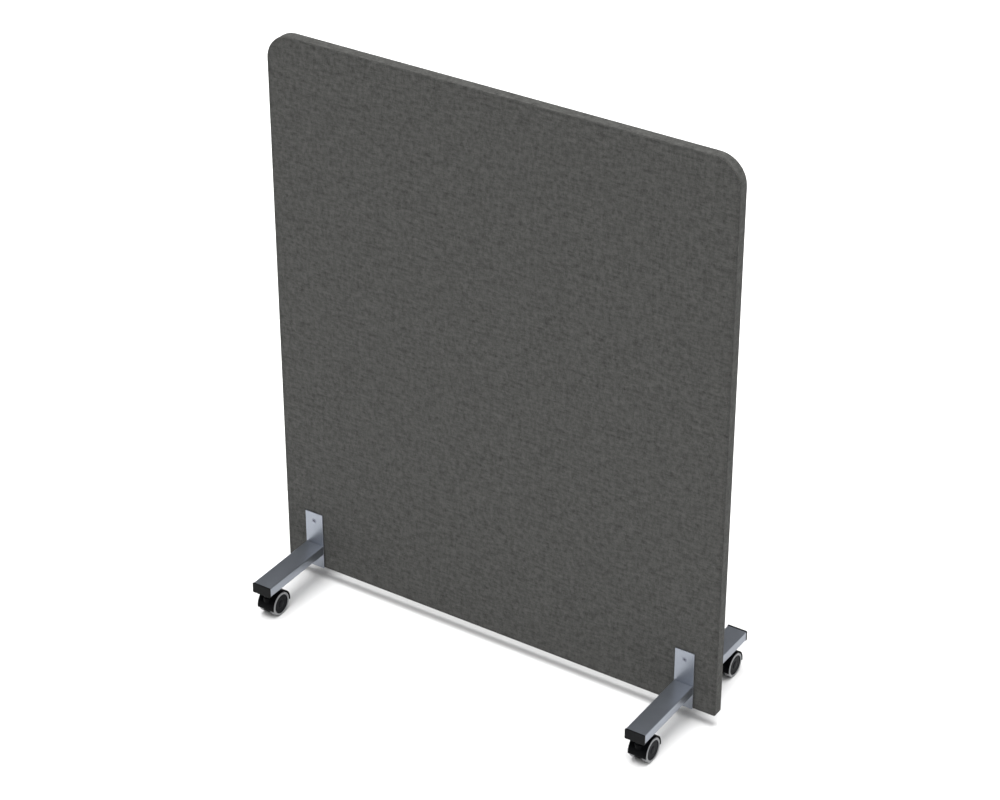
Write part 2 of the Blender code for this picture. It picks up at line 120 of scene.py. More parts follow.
# Castors
HOOD_RADIUS = 0.0345
HOOD_INNER_RADIUS = 0.0320
HOOD_REACH = radians(9)
HOOD_EDGE = 0.0009
HOOD_STEPS = 48
WEB_REACH = radians(17)
WEB_HALF = 0.0075
WEB_EASE = 0.0006
BELLY_DEPTH = 0.005
NECK_RADIUS = 0.009
NECK_FLARE = 0.0022
NECK_EASE = 0.0008
PIN_RADIUS = 0.0040
PIN_CLEARANCE = 0.0006
COLLAR_RADIUS = 0.0081
STUD_RADIUS = 0.0050
AXLE_RADIUS = 0.0030
TYRE_DEPTH = 0.0055
TYRE_SHOULDER = 0.0018
HUB_GAP = 0.0003

ROUND = 96
SMALL_ROUND = 48
CORNER_ARC = 6

# Light: a pale room whose ceiling is bright towards the front, with dim walls, and a wide softbox
CEILING_MIDDLE = Vector((0.12, -0.21, 1.0)).normalized()
DIM_BELOW = radians(40)
BRIGHT_ABOVE = radians(60)
DIM_WALLS = 0.12
BRIGHT_CEILING = 2.65
SOFTBOX_ENERGY = 2.9
SOFTBOX_ANGLE = radians(42)
SOFTBOX_TILT = radians(3)
FLOOR_WHITE = 0.80
FLOOR_REACH = 40

# Camera, at the photograph's angle
LENS = 101.57
CAMERA_ABOVE_PANEL_FOOT = (2.97312, -4.56201, 3.93753)
CAMERA_DOWN = 0.545
CAMERA_ROUND = 0.5762


# ---- Sizes read from the CAD model


def span(node):
    low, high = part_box(node)
    return high - low


def middle(node):
    low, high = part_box(node)
    return (low + high) / 2


JOINT_AT = {joint["name"]: Vector(joint["pos_m"]) for joint in frame["joints"]}

face_low, face_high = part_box("front_fabric")
HALF_WIDTH = face_high.x
HALF_THICKNESS = -face_low.y
PANEL_BOTTOM = face_low.z
PANEL_TOP = face_high.z
PANEL_BOX = (-HALF_WIDTH, PANEL_BOTTOM), (HALF_WIDTH, PANEL_TOP)

# The front right foot stands for all four: the rear ones are turned half round.
plate_low, plate_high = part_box("front_right_foot_plate")
tube_low, tube_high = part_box("front_right_foot_tube")
cap_low, cap_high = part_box("front_right_tube_cap")
stem_low, stem_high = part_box("front_right_castor_stem")
tyre_low, tyre_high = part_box("front_right_outer_tyre")
swivel = JOINT_AT["front_right_castor_swivel"]
wheel = JOINT_AT["front_right_outer_wheel_spin"]

FOOT_X = swivel.x
STEM_Y = -swivel.y
NECK_TOP = swivel.z
TRAIL = wheel.y - swivel.y
AXLE_HEIGHT = wheel.z
WHEEL_RADIUS = (tyre_high.z - tyre_low.z) / 2
WHEEL_INNER = tyre_low.x - FOOT_X
WHEEL_OUTER = tyre_high.x - FOOT_X
PLATE_FACE = -plate_low.y
PLATE_BACK = -plate_high.y
HALF_PLATE = (plate_high.x - plate_low.x) / 2
TUBE_WIDTH = tube_high.x - tube_low.x
TUBE_HEIGHT = tube_high.z - tube_low.z
TUBE_CENTRE = np.array((0, 0, (tube_high.z + tube_low.z) / 2))
BOLT_HEIGHTS = [middle(f"right_{level}_bolt").z for level in ("lower", "upper")]


# ---- Flat outlines


def circle(radius, count=ROUND):
    turn = np.arange(count) * tau / count
    return radius * np.stack([np.cos(turn), np.sin(turn)], 1)


def polygon(radius, sides, count=SMALL_ROUND):
    """A regular polygon with extra points on its sides, at the angles of a circle's points."""
    turn = np.arange(count) * tau / count
    sector = tau / sides
    from_flat = (turn % sector) - sector / 2
    reach = radius * cos(sector / 2) / np.cos(from_flat)
    return reach[:, None] * np.stack([np.cos(turn), np.sin(turn)], 1)


def disc(radius):
    return circle(radius, SMALL_ROUND)


def hexagon(radius):
    return polygon(radius, 6)


def rounded_rectangle(width, height, corner, inset=0.0):
    """A rectangle around the origin with an arc at each corner, all set in by the same amount."""
    corner = max(corner, inset + 1e-5)
    across, up, radius = width / 2 - corner, height / 2 - corner, corner - inset
    points = []
    for quarter, (x, y) in enumerate([(across, up), (-across, up), (-across, -up), (across, -up)]):
        turn = (quarter + np.linspace(0, 1, CORNER_ARC + 1)) * pi / 2
        points.append(np.stack([x + radius * np.cos(turn), y + radius * np.sin(turn)], 1))
    return np.concatenate(points)


def spaced_loop(points, count):
    """The closed outline again, as that many points at even distances, and the outward direction at each."""
    closed = np.concatenate([points, points[:1]])
    lengths = np.linalg.norm(np.diff(closed, axis=0), axis=1)
    along = np.concatenate([[0], np.cumsum(lengths)])
    at = np.arange(count) * along[-1] / count
    loop = np.stack([np.interp(at, along, closed[:, k]) for k in (0, 1)], 1)
    ahead = np.roll(loop, -1, 0) - np.roll(loop, 1, 0)
    out = np.stack([ahead[:, 1], -ahead[:, 0]], 1)
    return loop, out / np.linalg.norm(out, axis=1, keepdims=True), at


# ---- Meshes through stacked loops

# Where an outline's two directions and its height point: up, out of the wall's front, or along an axle
UP = np.eye(3)
OUTWARD = np.array([(1, 0, 0), (0, 0, 1), (0, -1, 0)], float)
SIDEWAYS = np.array([(0, 1, 0), (0, 0, 1), (1, 0, 0)], float)


def lifted(outline, height, axes=UP):
    """The outline's points in space, at one height or at a height for each point."""
    heights = np.broadcast_to(np.asarray(height, float), (len(outline),))
    return np.concatenate([outline, heights[:, None]], 1) @ axes


def shown(name, data):
    made = bpy.data.objects.new(name, data)
    bpy.context.scene.collection.objects.link(made)
    return made


def mesh_from(name, points, faces):
    mesh = bpy.data.meshes.new(name)
    mesh.from_pydata(points.tolist(), [], faces)
    shape = bmesh.new()
    shape.from_mesh(mesh)
    bmesh.ops.recalc_face_normals(shape, faces=shape.faces)
    shape.to_mesh(mesh)
    shape.free()
    mesh.shade_smooth()
    mesh.set_sharp_from_angle(angle=SMOOTH_ANGLE)
    return mesh


def stacked(name, loops, ring=False):
    """A closed skin through loops of equal counts: capped at both ends, or joined into a ring."""
    count = len(loops[0])
    faces = []
    last = len(loops) if ring else len(loops) - 1
    for level in range(last):
        here, above = level * count, (level + 1) % len(loops) * count
        for i in range(count):
            j = (i + 1) % count
            faces.append((here + i, here + j, above + j, above + i))
    if not ring:
        faces.append(tuple(range(count)))
        faces.append(tuple(range((len(loops) - 1) * count, len(loops) * count)))
    return mesh_from(name, np.concatenate(loops), faces)


def eased_slab(outline, bottom, top, ease, axes=UP, steps=3):
    """Loops of a slab with both rims rounded. outline(inset) is its flat outline."""
    turns = [pi / 2 * k / steps for k in range(steps + 1)]
    loops = [lifted(outline(1.7 * ease), bottom, axes)]
    loops += [lifted(outline(ease * (1 - sin(a))), bottom + ease * (1 - cos(a)), axes) for a in turns]
    loops += [lifted(outline(ease * (1 - cos(a))), top - ease * (1 - sin(a)), axes) for a in turns]
    loops += [lifted(outline(1.7 * ease), top, axes)]
    return loops


def turned_loops(profile, axes=UP, outline=circle):
    """Circles, or other outlines, of (radius, height)."""
    return [lifted(outline(radius), height, axes) for radius, height in profile]


def thread_profile(radius, start, end):
    """Crests and roots of (radius, height) along a threaded length."""
    turns = round(abs(end - start) / THREAD_PITCH)
    pitch = (end - start) / turns
    points = []
    for turn in range(turns):
        points.append((radius - THREAD_DEPTH, start + pitch * (turn + 0.15)))
        points.append((radius, start + pitch * (turn + 0.60)))
    return points


def combined(name, base, others):
    """The base mesh with each (mesh, operation) applied to it as an exact Boolean."""
    scratch = [shown(f"{name}_scratch", mesh) for mesh in (base, *(other for other, _ in others))]
    for holder, (_, operation) in zip(scratch[1:], others):
        step = scratch[0].modifiers.new(operation, "BOOLEAN")
        step.operation = operation
        step.solver = "EXACT"
        step.object = holder
    bpy.context.view_layer.update()
    graph = bpy.context.evaluated_depsgraph_get()
    mesh = bpy.data.meshes.new_from_object(scratch[0].evaluated_get(graph))
    mesh.name = name
    for holder in scratch:
        bpy.data.objects.remove(holder)
    mesh.shade_smooth()
    mesh.set_sharp_from_angle(angle=SMOOTH_ANGLE)
    return mesh


# ---- Materials


class Nodes:
    """The node tree of a material or a world, written one node at a time."""

    def __init__(self, owner):
        owner.use_nodes = True
        self.owner = owner
        self.tree = owner.node_tree

    def node(self, kind, inputs=(), output=0, **settings):
        made = self.tree.nodes.new("ShaderNode" + kind)
        for key, value in settings.items():
            setattr(made, key, value)
        for key, value in dict(inputs).items():
            self.feed(made.inputs[key], value)
        return made.outputs[output]

    def feed(self, socket, value):
        if isinstance(value, bpy.types.NodeSocket):
            self.tree.links.new(value, socket)
        else:
            socket.default_value = value

    def finish(self, **values):
        """Feeds the tree's own shader, and gives the material or world back."""
        shader = self.tree.nodes.get("Principled BSDF") or self.tree.nodes["Background"]
        for key, value in values.items():
            self.feed(shader.inputs[key.replace("_", " ")], value)
        return self.owner

    def math(self, operation, first, second=0.0):
        return self.node("Math", {0: first, 1: second}, operation=operation)

    def plus(self, first, second):
        return self.math("ADD", first, second)

    def times(self, first, second):
        return self.math("MULTIPLY", first, second)

    def scaled(self, vector, factors):
        return self.node("VectorMath", {0: vector, 1: factors}, operation="MULTIPLY")

    def noise(self, vector, scale=1.0, detail=2.0, roughness=0.5):
        inputs = {"Vector": vector, "Scale": scale, "Detail": detail, "Roughness": roughness}
        return self.node("TexNoise", inputs)

    def fit(self, value, low, high, to_low=0.0, to_high=1.0):
        inputs = {0: value, 1: low, 2: high, 3: to_low, 4: to_high}
        return self.node("MapRange", inputs)

    def spread(self, noise, low, high):
        """A noise's usual range, mapped to run from low to high."""
        return self.fit(noise, 0.3, 0.7, low, high)

    def blend(self, factor, first, second, how="MIX"):
        """A mix of two colours. Each is a socket or three numbers."""
        pair = [v if isinstance(v, bpy.types.NodeSocket) else (*v, 1.0) for v in (first, second)]
        inputs = {0: factor, 6: pair[0], 7: pair[1]}
        return self.node("Mix", inputs, 2, data_type="RGBA", blend_type=how)

    def grey(self, value):
        return self.node("CombineColor", {0: value, 1: value, 2: value})

    def tinted(self, colour, level):
        return self.blend(1.0, colour, self.grey(level), "MULTIPLY")

    def bump(self, height, distance, strength=1.0):
        inputs = {"Height": height, "Distance": distance, "Strength": strength}
        return self.node("Bump", inputs)

    def yarn(self, along, over, length, width):
        """Tone that changes over a length along each yarn, and over a width from yarn to yarn."""
        which = self.times(self.math("FLOOR", over), WEAVE_PITCH / width)
        at = self.node("CombineXYZ", {0: self.math("DIVIDE", along, length), 1: which})
        return self.noise(at, detail=1.0)

    def place(self):
        return self.node("TexCoord", output=3)

    def shift_by_piece(self, vector, distance):
        """The vector moved by a different amount on each piece, so that copies differ."""
        random = self.node("ObjectInfo", output=5)
        return self.node("VectorMath", {0: vector, 1: self.grey(self.times(random, distance))})


def material(name):
    return Nodes(bpy.data.materials.new(name))


def woven_fabric():
    """A plain weave of mottled grey yarn. Thicker, lighter stretches of yarn show as short streaks. Painted
    shade darkens the weave's hollows and the cloth along the seams.
    """
    s = material("grey_melange_fabric")
    uv = s.node("UVMap", uv_map="weave")
    x = s.node("SeparateXYZ", {0: uv})
    y = s.node("SeparateXYZ", {0: uv}, 1)
    across = s.math("DIVIDE", x, WEAVE_PITCH)
    up = s.math("DIVIDE", y, WEAVE_PITCH)

    def thread(over, along, low, high):
        """Height of the threads one way, which pass over and under the others in turn."""
        ridge = s.math("ABSOLUTE", s.math("SINE", s.times(over, pi)))
        wave = s.math("COSINE", s.times(s.plus(along, s.math("FLOOR", over)), pi))
        return s.times(ridge, s.fit(wave, -1, 1, low, high))

    def yarn_shade(along, over, length, width):
        """Tone of the threads one way: streaks over several threads, and each yarn's own mottle."""
        streak = s.fit(s.yarn(along, over, length, width), 0.25, 0.75, -0.33, 0.33)
        return s.plus(streak, s.fit(s.yarn(along, over, 0.0080, 0.0003), 0.25, 0.75, -0.38, 0.38))

    warp = thread(across, up, 0.25, 1)
    weft = thread(up, across, 1, 0.25)
    height = s.math("MAXIMUM", warp, weft)
    warp_on_top = s.fit(s.math("SUBTRACT", warp, weft), -0.15, 0.15)

    weft_shade = yarn_shade(x, up, 0.0320, 0.0066)
    warp_shade = yarn_shade(y, across, 0.0180, 0.0095)
    blotch = s.noise(s.scaled(uv, (1 / 0.0130, 1 / 0.0110, 0)), detail=1.0)
    cloudy = s.noise(s.scaled(uv, (1 / 0.09, 1 / 0.06, 0)), detail=3.0)
    both = s.plus(s.times(weft_shade, 0.5), s.times(warp_shade, 0.5))
    top = s.node("Mix", {0: warp_on_top, 2: weft_shade, 3: warp_shade})
    shade = s.plus(s.times(both, 0.75), s.times(top, 0.35))
    shade = s.plus(shade, s.spread(blotch, -0.075, 0.075))
    shade = s.plus(shade, s.spread(cloudy, -0.035, 0.035))
    # Painted shade: the colour is up to a fifth darker where the weave lies low between the threads, and a
    # little lighter on the crests.
    hollow = s.fit(height, 0.1, 0.8, 0.80, 1.05)
    level = s.times(s.plus(shade, 1.0), hollow)
    # Painted shade: the colour is darkened by up to a tenth where the seam attribute is high, along the
    # seams at the panel's edge.
    seam = s.node("Attribute", attribute_name="seam", output=2)
    level = s.times(level, s.fit(seam, 0, 1, 1.0, 0.90))
    colour = s.tinted((0.0680, 0.0680, 0.0648), level)
    fibre = s.noise(s.scaled(uv, (1 / 0.0004, 1 / 0.0004, 0)), detail=2.0)
    relief = s.plus(height, s.times(fibre, 0.3))
    return s.finish(
        Base_Color=colour, Roughness=s.spread(fibre, 0.88, 0.98), Specular_IOR_Level=0.12,
        Sheen_Weight=0.05, Sheen_Roughness=0.45, Sheen_Tint=(0.85, 0.85, 0.83, 1.0),
        Normal=s.bump(relief, 0.00022, 0.8),
    )


def felt():
    s = material("needled_felt")
    at = s.place()
    fluff = s.noise(s.scaled(at, (900, 900, 250)), detail=4.0, roughness=0.7)
    cloud = s.noise(at, 45.0, 3.0)
    tone = s.plus(s.spread(fluff, 0.82, 1.08), s.spread(cloud, -0.05, 0.05))
    colour = s.tinted((0.42, 0.41, 0.39), tone)
    return s.finish(Base_Color=colour, Roughness=s.spread(fluff, 0.85, 1.0), Sheen_Weight=0.3,
                    Normal=s.bump(fluff, 0.0004, 0.7))


def pine(name, grain_scale):
    """Softwood with its grain along the direction that grain_scale shrinks."""
    s = material(name)
    at = s.place()
    bend = s.noise(s.scaled(at, grain_scale), 1.2, 2.0)
    rings = s.node("TexWave", {"Vector": s.scaled(at, grain_scale), "Scale": 2.4, "Distortion": 5.0,
                               "Detail": 2.0, "Detail Scale": 1.2}, 1, bands_direction="DIAGONAL")
    fibre = s.noise(s.scaled(at, tuple(9 * g for g in grain_scale)), 4.0, 3.0, 0.6)
    colour = s.blend(s.fit(rings, 0.25, 0.95), (0.60, 0.42, 0.235), (0.43, 0.265, 0.125))
    colour = s.blend(s.fit(fibre, 0.35, 0.75, 0.0, 0.45), colour, (0.68, 0.50, 0.30))
    colour = s.blend(s.fit(bend, 0.55, 0.8, 0.0, 0.30), colour, (0.36, 0.21, 0.10))
    return s.finish(Base_Color=colour, Roughness=s.spread(fibre, 0.55, 0.75),
                    Normal=s.bump(fibre, 0.0003, 0.6))


def mineral_wool():
    s = material("pressed_mineral_wool")
    at = s.place()
    strands = s.noise(s.scaled(at, (60, 900, 260)), detail=4.0, roughness=0.65)
    clumps = s.noise(at, 70.0, 3.0, 0.6)
    colour = s.blend(s.fit(strands, 0.3, 0.7), (0.33, 0.32, 0.19), (0.56, 0.54, 0.36))
    colour = s.blend(s.fit(clumps, 0.5, 0.8, 0.0, 0.4), colour, (0.25, 0.23, 0.13))
    height = s.plus(strands, s.times(clumps, 0.8))
    return s.finish(Base_Color=colour, Roughness=0.95, Normal=s.bump(height, 0.0012, 0.8))


def silver_coat():
    """Silver-grey powder coat on steel: a fine orange-peel surface with metal flake in it."""
    s = material("silver_powder_coat")
    at = s.shift_by_piece(s.place(), 7.0)
    peel = s.noise(at, 1000.0, 1.0)
    swell = s.noise(at, 260.0, 1.0)
    flake = s.node("TexVoronoi", {"Vector": at, "Scale": 2600.0}, 1)
    sparkle = s.fit(s.node("SeparateColor", {0: flake}), 0.0, 1.0, 0.96, 1.04)
    film = s.fit(s.noise(at, 22.0, 3.0), 0.3, 0.7, 0.96, 1.04)
    level = s.times(sparkle, film)
    colour = s.tinted((0.286, 0.307, 0.347), level)
    height = s.plus(peel, s.times(swell, 1.5))
    smear = s.noise(s.scaled(at, (1, 1, 0.35)), 60.0, 3.0, 0.6)
    return s.finish(
        Base_Color=colour, Metallic=0.87, Roughness=s.spread(smear, 0.285, 0.318),
        Specular_Tint=(0.72, 0.72, 0.72, 1.0),
        Normal=s.bump(height, 0.00003, 0.35),
    )


def moulded_plastic(name, colour, roughness, grain, gloss=0.06, mottle=0.0):
    """Injection-moulded plastic with a fine spark-eroded texture and faint dust."""
    s = material(name)
    at = s.shift_by_piece(s.place(), 5.0)
    texture = s.noise(at, grain, 3.0, 0.65)
    cloud = s.noise(at, 120.0, 3.0, 0.6)
    dust = s.fit(s.noise(at, 900.0, 4.0, 0.75), 0.60, 0.78, 0.0, 0.35)
    lighter = tuple(c * (2.2 + mottle) + 0.002 for c in colour)
    shade = s.blend(s.fit(cloud, 0.35, 0.75, 0.0, 0.30 + mottle), colour, lighter)
    shade = s.blend(dust, shade, lighter)
    rough = s.plus(s.spread(texture, roughness - 0.05, roughness + 0.07), s.times(dust, 0.15))
    return s.finish(Base_Color=shade, Roughness=rough, Specular_IOR_Level=gloss,
                    Normal=s.bump(texture, 0.00005, 0.7))


def grey_rubber():
    """Soft grey tyre rubber, with scuffs and picked-up dust on its tread."""
    s = material("soft_grey_tyre")
    at = s.place()
    radius = s.node("VectorMath", {0: s.scaled(at, (0, 1, 1))}, 1, operation="LENGTH")
    tread = s.fit(radius, WHEEL_RADIUS - 0.0012, WHEEL_RADIUS - 0.0002)
    scuff = s.fit(s.noise(s.scaled(at, (260, 900, 900)), 1.0, 4.0, 0.7), 0.45, 0.72)
    grain = s.noise(at, 2400.0, 3.0, 0.6)
    cloud = s.fit(s.noise(at, 180.0, 2.0), 0.3, 0.7, 0.93, 1.06)
    colour = s.tinted((0.25, 0.255, 0.262), cloud)
    worn = s.times(tread, s.times(scuff, 0.6))
    colour = s.blend(worn, colour, (0.12, 0.117, 0.113))
    return s.finish(Base_Color=colour, Roughness=s.spread(grain, 0.52, 0.66),
                    Normal=s.bump(grain, 0.00006, 0.6))


def zinc_steel(name, base, low_roughness):
    """Zinc plating, with a faint spangle and fine turning marks."""
    s = material(name)
    at = s.shift_by_piece(s.place(), 3.0)
    spangle = s.node("TexVoronoi", {"Vector": at, "Scale": 900.0}, 1)
    tone = s.fit(s.node("SeparateColor", {0: spangle}), 0, 1, 0.88, 1.08)
    marks = s.noise(s.scaled(at, (400, 400, 3500)), 1.0, 2.0)
    colour = s.tinted(base, tone)
    rough = s.spread(marks, low_roughness, low_roughness + 0.14)
    return s.finish(Base_Color=colour, Metallic=1.0, Roughness=rough, Normal=s.bump(marks, 0.00001, 0.4))


FABRIC = woven_fabric()
FELT = felt()
PINE_ACROSS = pine("pine_grain_across", (2.0, 14.0, 14.0))
PINE_UP = pine("pine_grain_up", (14.0, 14.0, 2.0))
WOOL = mineral_wool()
SILVER = silver_coat()
CAP_PLASTIC = moulded_plastic("black_cap_plastic", (0.0052, 0.0055, 0.0058), 0.42, 1900.0)
HOOD_PLASTIC = moulded_plastic("black_hood_plastic", (0.0010, 0.0012, 0.0016), 0.38, 2300.0, 0.035)
HUB_PLASTIC = moulded_plastic("black_hub_plastic", (0.0042, 0.0046, 0.0058), 0.40, 1500.0, 0.04, 0.3)
RUBBER = grey_rubber()
ZINC = zinc_steel("zinc_plated_steel", (0.245, 0.258, 0.305), 0.34)
# A darker steel for inside the screws' hex sockets: painted shade in the recess.
SOCKET_SHADE_STEEL = zinc_steel("socket_steel_painted_shade", (0.17, 0.18, 0.21), 0.45)


# ---- Pieces


def piece(name, mesh, material, body, nodes=(), matrix=None):
    """A shown piece that rides on a body, in place of the CAD nodes it stands for."""
    if not mesh.materials:
        mesh.materials.append(material)
    made = shown(name, mesh)
    if matrix:
        made.matrix_world = matrix
    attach(made, body)
    if nodes:
        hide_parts(*nodes)
    return made


# ---- Cloth layers of the panel


def graded(start, end, features, fine, coarse):
    """Places from start to end, close together near the features and further apart between them."""
    places = [start]
    while places[-1] < end:
        near = min(abs(places[-1] - f) for f in features)
        places.append(places[-1] + min(coarse, fine + STEP_GROWTH * near))
    stretch = (end - start) / (places[-1] - start)
    return [start + (p - start) * stretch for p in places]


def panel_grid(low, high, foot_corner, top_corner, inset, features, fine, coarse):
    """Rows and columns that fill a panel with rounded corners, set in from its outline.

    It gives each point's X and Z, the boundary's points in order, and the outward direction at each.
    """
    half = high[0]

    def arc(centre, corner, turns):
        radius = corner - inset
        return [(centre + radius * sin(a), half - corner + radius * cos(a), a) for a in turns]

    upright = graded(low[1] + foot_corner, high[1] - top_corner, features[1], fine, coarse)
    rows = arc(low[1] + foot_corner, foot_corner, np.linspace(-pi / 2, 0, FOOT_CORNER_STEPS + 1))
    rows += [(z, half - inset, 0.0) for z in upright[1:-1]]
    rows += arc(high[1] - top_corner, top_corner, np.linspace(0, pi / 2, CORNER_STEPS + 1))
    right = graded(0, half - inset, features[0], fine, coarse)
    across = np.array([-x for x in right[:0:-1]] + right) / (half - inset)
    heights, widths, angles = (np.array(column) for column in zip(*rows))
    x = widths[:, None] * across[None, :]
    z = np.repeat(heights[:, None], len(across), 1)

    n_rows, n_cols = x.shape
    index = np.arange(n_rows * n_cols).reshape(n_rows, n_cols)
    loop = np.concatenate([index[:, -1], index[-1, -2:0:-1], index[::-1, 0], index[0, 1:-1]])
    right_out = np.stack([np.cos(angles), np.sin(angles)], 1)
    left_out = right_out[::-1] * (-1, 1)
    inner = n_cols - 2
    out = np.concatenate([right_out, [(0, 1)] * inner, left_out, [(0, -1)] * inner])
    return x, z, loop, out


def grid_faces(n_rows, n_cols, offset=0):
    index = np.arange(n_rows * n_cols).reshape(n_rows, n_cols) + offset
    quads = np.stack([index[:-1, :-1], index[:-1, 1:], index[1:, 1:], index[1:, :-1]], -1)
    return [tuple(q) for q in quads.reshape(-1, 4).tolist()]


def row_faces(loop, n_rows, n_cols):
    """Faces across a panel from the points of its boundary alone."""
    right = loop[:n_rows]
    top = loop[n_rows:n_rows + n_cols - 2]
    left = loop[n_rows + n_cols - 2:2 * n_rows + n_cols - 2][::-1]
    bottom = loop[2 * n_rows + n_cols - 2:]
    faces = [(right[j], right[j + 1], left[j + 1], left[j]) for j in range(1, n_rows - 2)]
    faces.append((right[-2], right[-1], *top, left[-1], left[-2]))
    faces.append((left[1], left[0], *bottom, right[0], right[1]))
    return [tuple(int(i) for i in face) for face in faces]


def joined_loops(first, second):
    ahead = lambda loop: np.roll(loop, -1)
    return [tuple(q) for q in np.stack([first, ahead(first), ahead(second), second], 1).tolist()]


def layer(name, side, grid, front, rim, back=None):
    """A closed sheet on one side of the panel. front and back give its depth below the panel's face at
    each point, and rim lists (inset from the grid's own boundary, depth) from the front to the back.
    Without back, long faces close it."""
    x, z, loop, out = grid
    n_rows, n_cols = x.shape
    flats = [np.stack([x.ravel(), z.ravel()], 1)]
    edge = flats[0][loop]
    faces = grid_faces(n_rows, n_cols)
    previous = loop
    levels = [front(x, z).ravel()]
    weave = [flats[0]]
    gone = 0.0
    last = (0.0, float(levels[0][loop].mean()))
    for step_in, depth in rim:
        start = sum(len(f) for f in flats)
        flats.append(edge - step_in * out)
        levels.append(np.full(len(loop), depth))
        gone += ((step_in - last[0]) ** 2 + (depth - last[1]) ** 2) ** 0.5
        last = (step_in, depth)
        weave.append(edge + gone * out)
        current = np.arange(len(loop)) + start
        faces += joined_loops(previous, current)
        previous = current
    if back:
        start = sum(len(f) for f in flats)
        flats.append(flats[0])
        levels.append(back(x, z).ravel())
        weave.append(flats[0])
        faces += grid_faces(n_rows, n_cols, start)
        faces += joined_loops(previous, loop + start)
    else:
        faces += row_faces(previous, n_rows, n_cols)
    flat = np.concatenate(flats)
    depth = np.concatenate(levels)
    points = np.stack([flat[:, 0], side * (HALF_THICKNESS - depth), flat[:, 1]], 1)
    mesh = mesh_from(name, points, faces)
    lay_weave(mesh, np.concatenate(weave))
    return mesh


def lay_weave(mesh, weave):
    """The cloth's own flat coordinates, in metres, for its weave to follow."""
    corners = np.zeros(len(mesh.loops), np.int32)
    mesh.loops.foreach_get("vertex_index", corners)
    uv = mesh.uv_layers.new(name="weave")
    uv.data.foreach_set("uv", weave[corners].astype(np.float32).ravel())


# The seam attribute holds painted shade along the seams: 1 where the cloth rolls into the seam, 0 away from
# it.
def paint_seam_shade(mesh, values):
    mark = mesh.attributes.new("seam", "FLOAT", "POINT")
    mark.data.foreach_set("value", np.asarray(values, np.float32))


def inside_distance(x, z):
    """How far inside the panel's outline a point lies."""
    from_side = HALF_WIDTH - np.abs(x)
    from_top = PANEL_TOP - z
    nearest = np.minimum(np.minimum(from_side, from_top), z - PANEL_BOTTOM)
    in_corner = (from_side < TOP_CORNER) & (from_top < TOP_CORNER)
    arc = TOP_CORNER - np.hypot(TOP_CORNER - from_side, TOP_CORNER - from_top)
    return np.where(in_corner, arc, nearest)


def plate_distance(x, z):
    """How far outside the nearer foot plate a point lies, and zero under it."""
    beside = np.maximum(np.abs(np.abs(x) - FOOT_X) - HALF_PLATE, 0)
    above = np.maximum(z - plate_high.z, 0)
    return np.hypot(beside, above)


def cover_depth(x, z):
    """The face of the cover: a shallow valley along the seam, and a soft press mark round each plate."""
    inside = inside_distance(x, z)
    valley = VALLEY_DEPTH * np.exp(-(((inside - VALLEY_INSET) / VALLEY_WIDTH) ** 2))
    press = PRESS_DEPTH * np.exp(-((plate_distance(x, z) / PRESS_REACH) ** 2))
    swell = sin_waves(x, z) * np.clip((inside - ROLL) / 0.03, 0, 1)
    fade = np.clip((inside - ROLL) / 0.002, 0, 1)
    return (valley + press) * fade + UNEVENNESS * (1 + swell) * fade


def sin_waves(x, z):
    waves = ((11, 7, 0.3), (-6, 17, 1.9), (23, -13, 4.1), (5, 29, 2.6))
    return sum(np.sin(a * x + b * z + c) for a, b, c in waves) / len(waves)


def rolled(turn, sunk=0.0):
    """(inset from the outline, depth) on the rolled edge, at an angle round it and below its surface."""
    radius = ROLL - sunk
    return ROLL - radius * sin(turn), ROLL - radius * cos(turn)


def roll_to_seam():
    """The outer surface from the flat face to the seam, where it tucks in."""
    lip = SEAM_ANGLE - SEAM_LIP_ANGLE
    path = [rolled(lip * k / ROLL_STEPS) for k in range(1, ROLL_STEPS + 1)]
    path.append(rolled(SEAM_ANGLE - SEAM_LIP_ANGLE * 0.35, SEAM_DEPTH * 0.16))
    path.append(rolled(SEAM_ANGLE - SEAM_HALF_ANGLE * 1.6, SEAM_DEPTH * 0.50))
    path.append(rolled(SEAM_ANGLE - SEAM_HALF_ANGLE, SEAM_DEPTH))
    return path


def under_roll():
    """The cloth's inner surface from the seam back to the flat face."""
    lip = SEAM_ANGLE - SEAM_LIP_ANGLE * 1.5
    return [rolled(lip * k / 4, CLOTH) for k in range(4, -1, -1)]


def build_faces():
    """The front and rear cloth, with holes for the screws."""
    across = [FOOT_X - HALF_PLATE, FOOT_X + HALF_PLATE, HALF_WIDTH]
    features = across, [PANEL_BOTTOM, plate_high.z, PANEL_TOP]
    grid = panel_grid(*PANEL_BOX, FOOT_CORNER, TOP_CORNER, ROLL, features, FINE_STEP, COARSE_STEP)
    rim = [(inset - ROLL, depth) for inset, depth in roll_to_seam() + under_roll()]
    holes = [
        stacked("bolt_hole", [lifted(circle(SLEEVE_RADIUS + 0.0004, 32), h, OUTWARD) + (x, 0, z)
                              for h in (-2 * HALF_THICKNESS, 2 * HALF_THICKNESS)])
        for x in (-FOOT_X, FOOT_X) for z in BOLT_HEIGHTS
    ]
    for side, end in ((-1, "front"), (1, "rear")):
        mesh = layer(f"{end}_cover", side, grid, cover_depth, rim)
        mesh = combined(f"{end}_cover", mesh, [(hole, "DIFFERENCE") for hole in holes])
        points = np.array([v.co for v in mesh.vertices])
        inside = inside_distance(points[:, 0], points[:, 2])
        # Painted shade along the seam: full within 4.5 mm of the outline, fading out over the next few
        # millimetres.
        paint_seam_shade(mesh, np.exp(-((np.maximum(inside - 0.0045, 0) / 0.0035) ** 2)))
        cover = piece(f"{end}_cover", mesh, FABRIC, "screen", [f"{end}_fabric"])
    for hole in holes:
        bpy.data.meshes.remove(hole)
    return grid


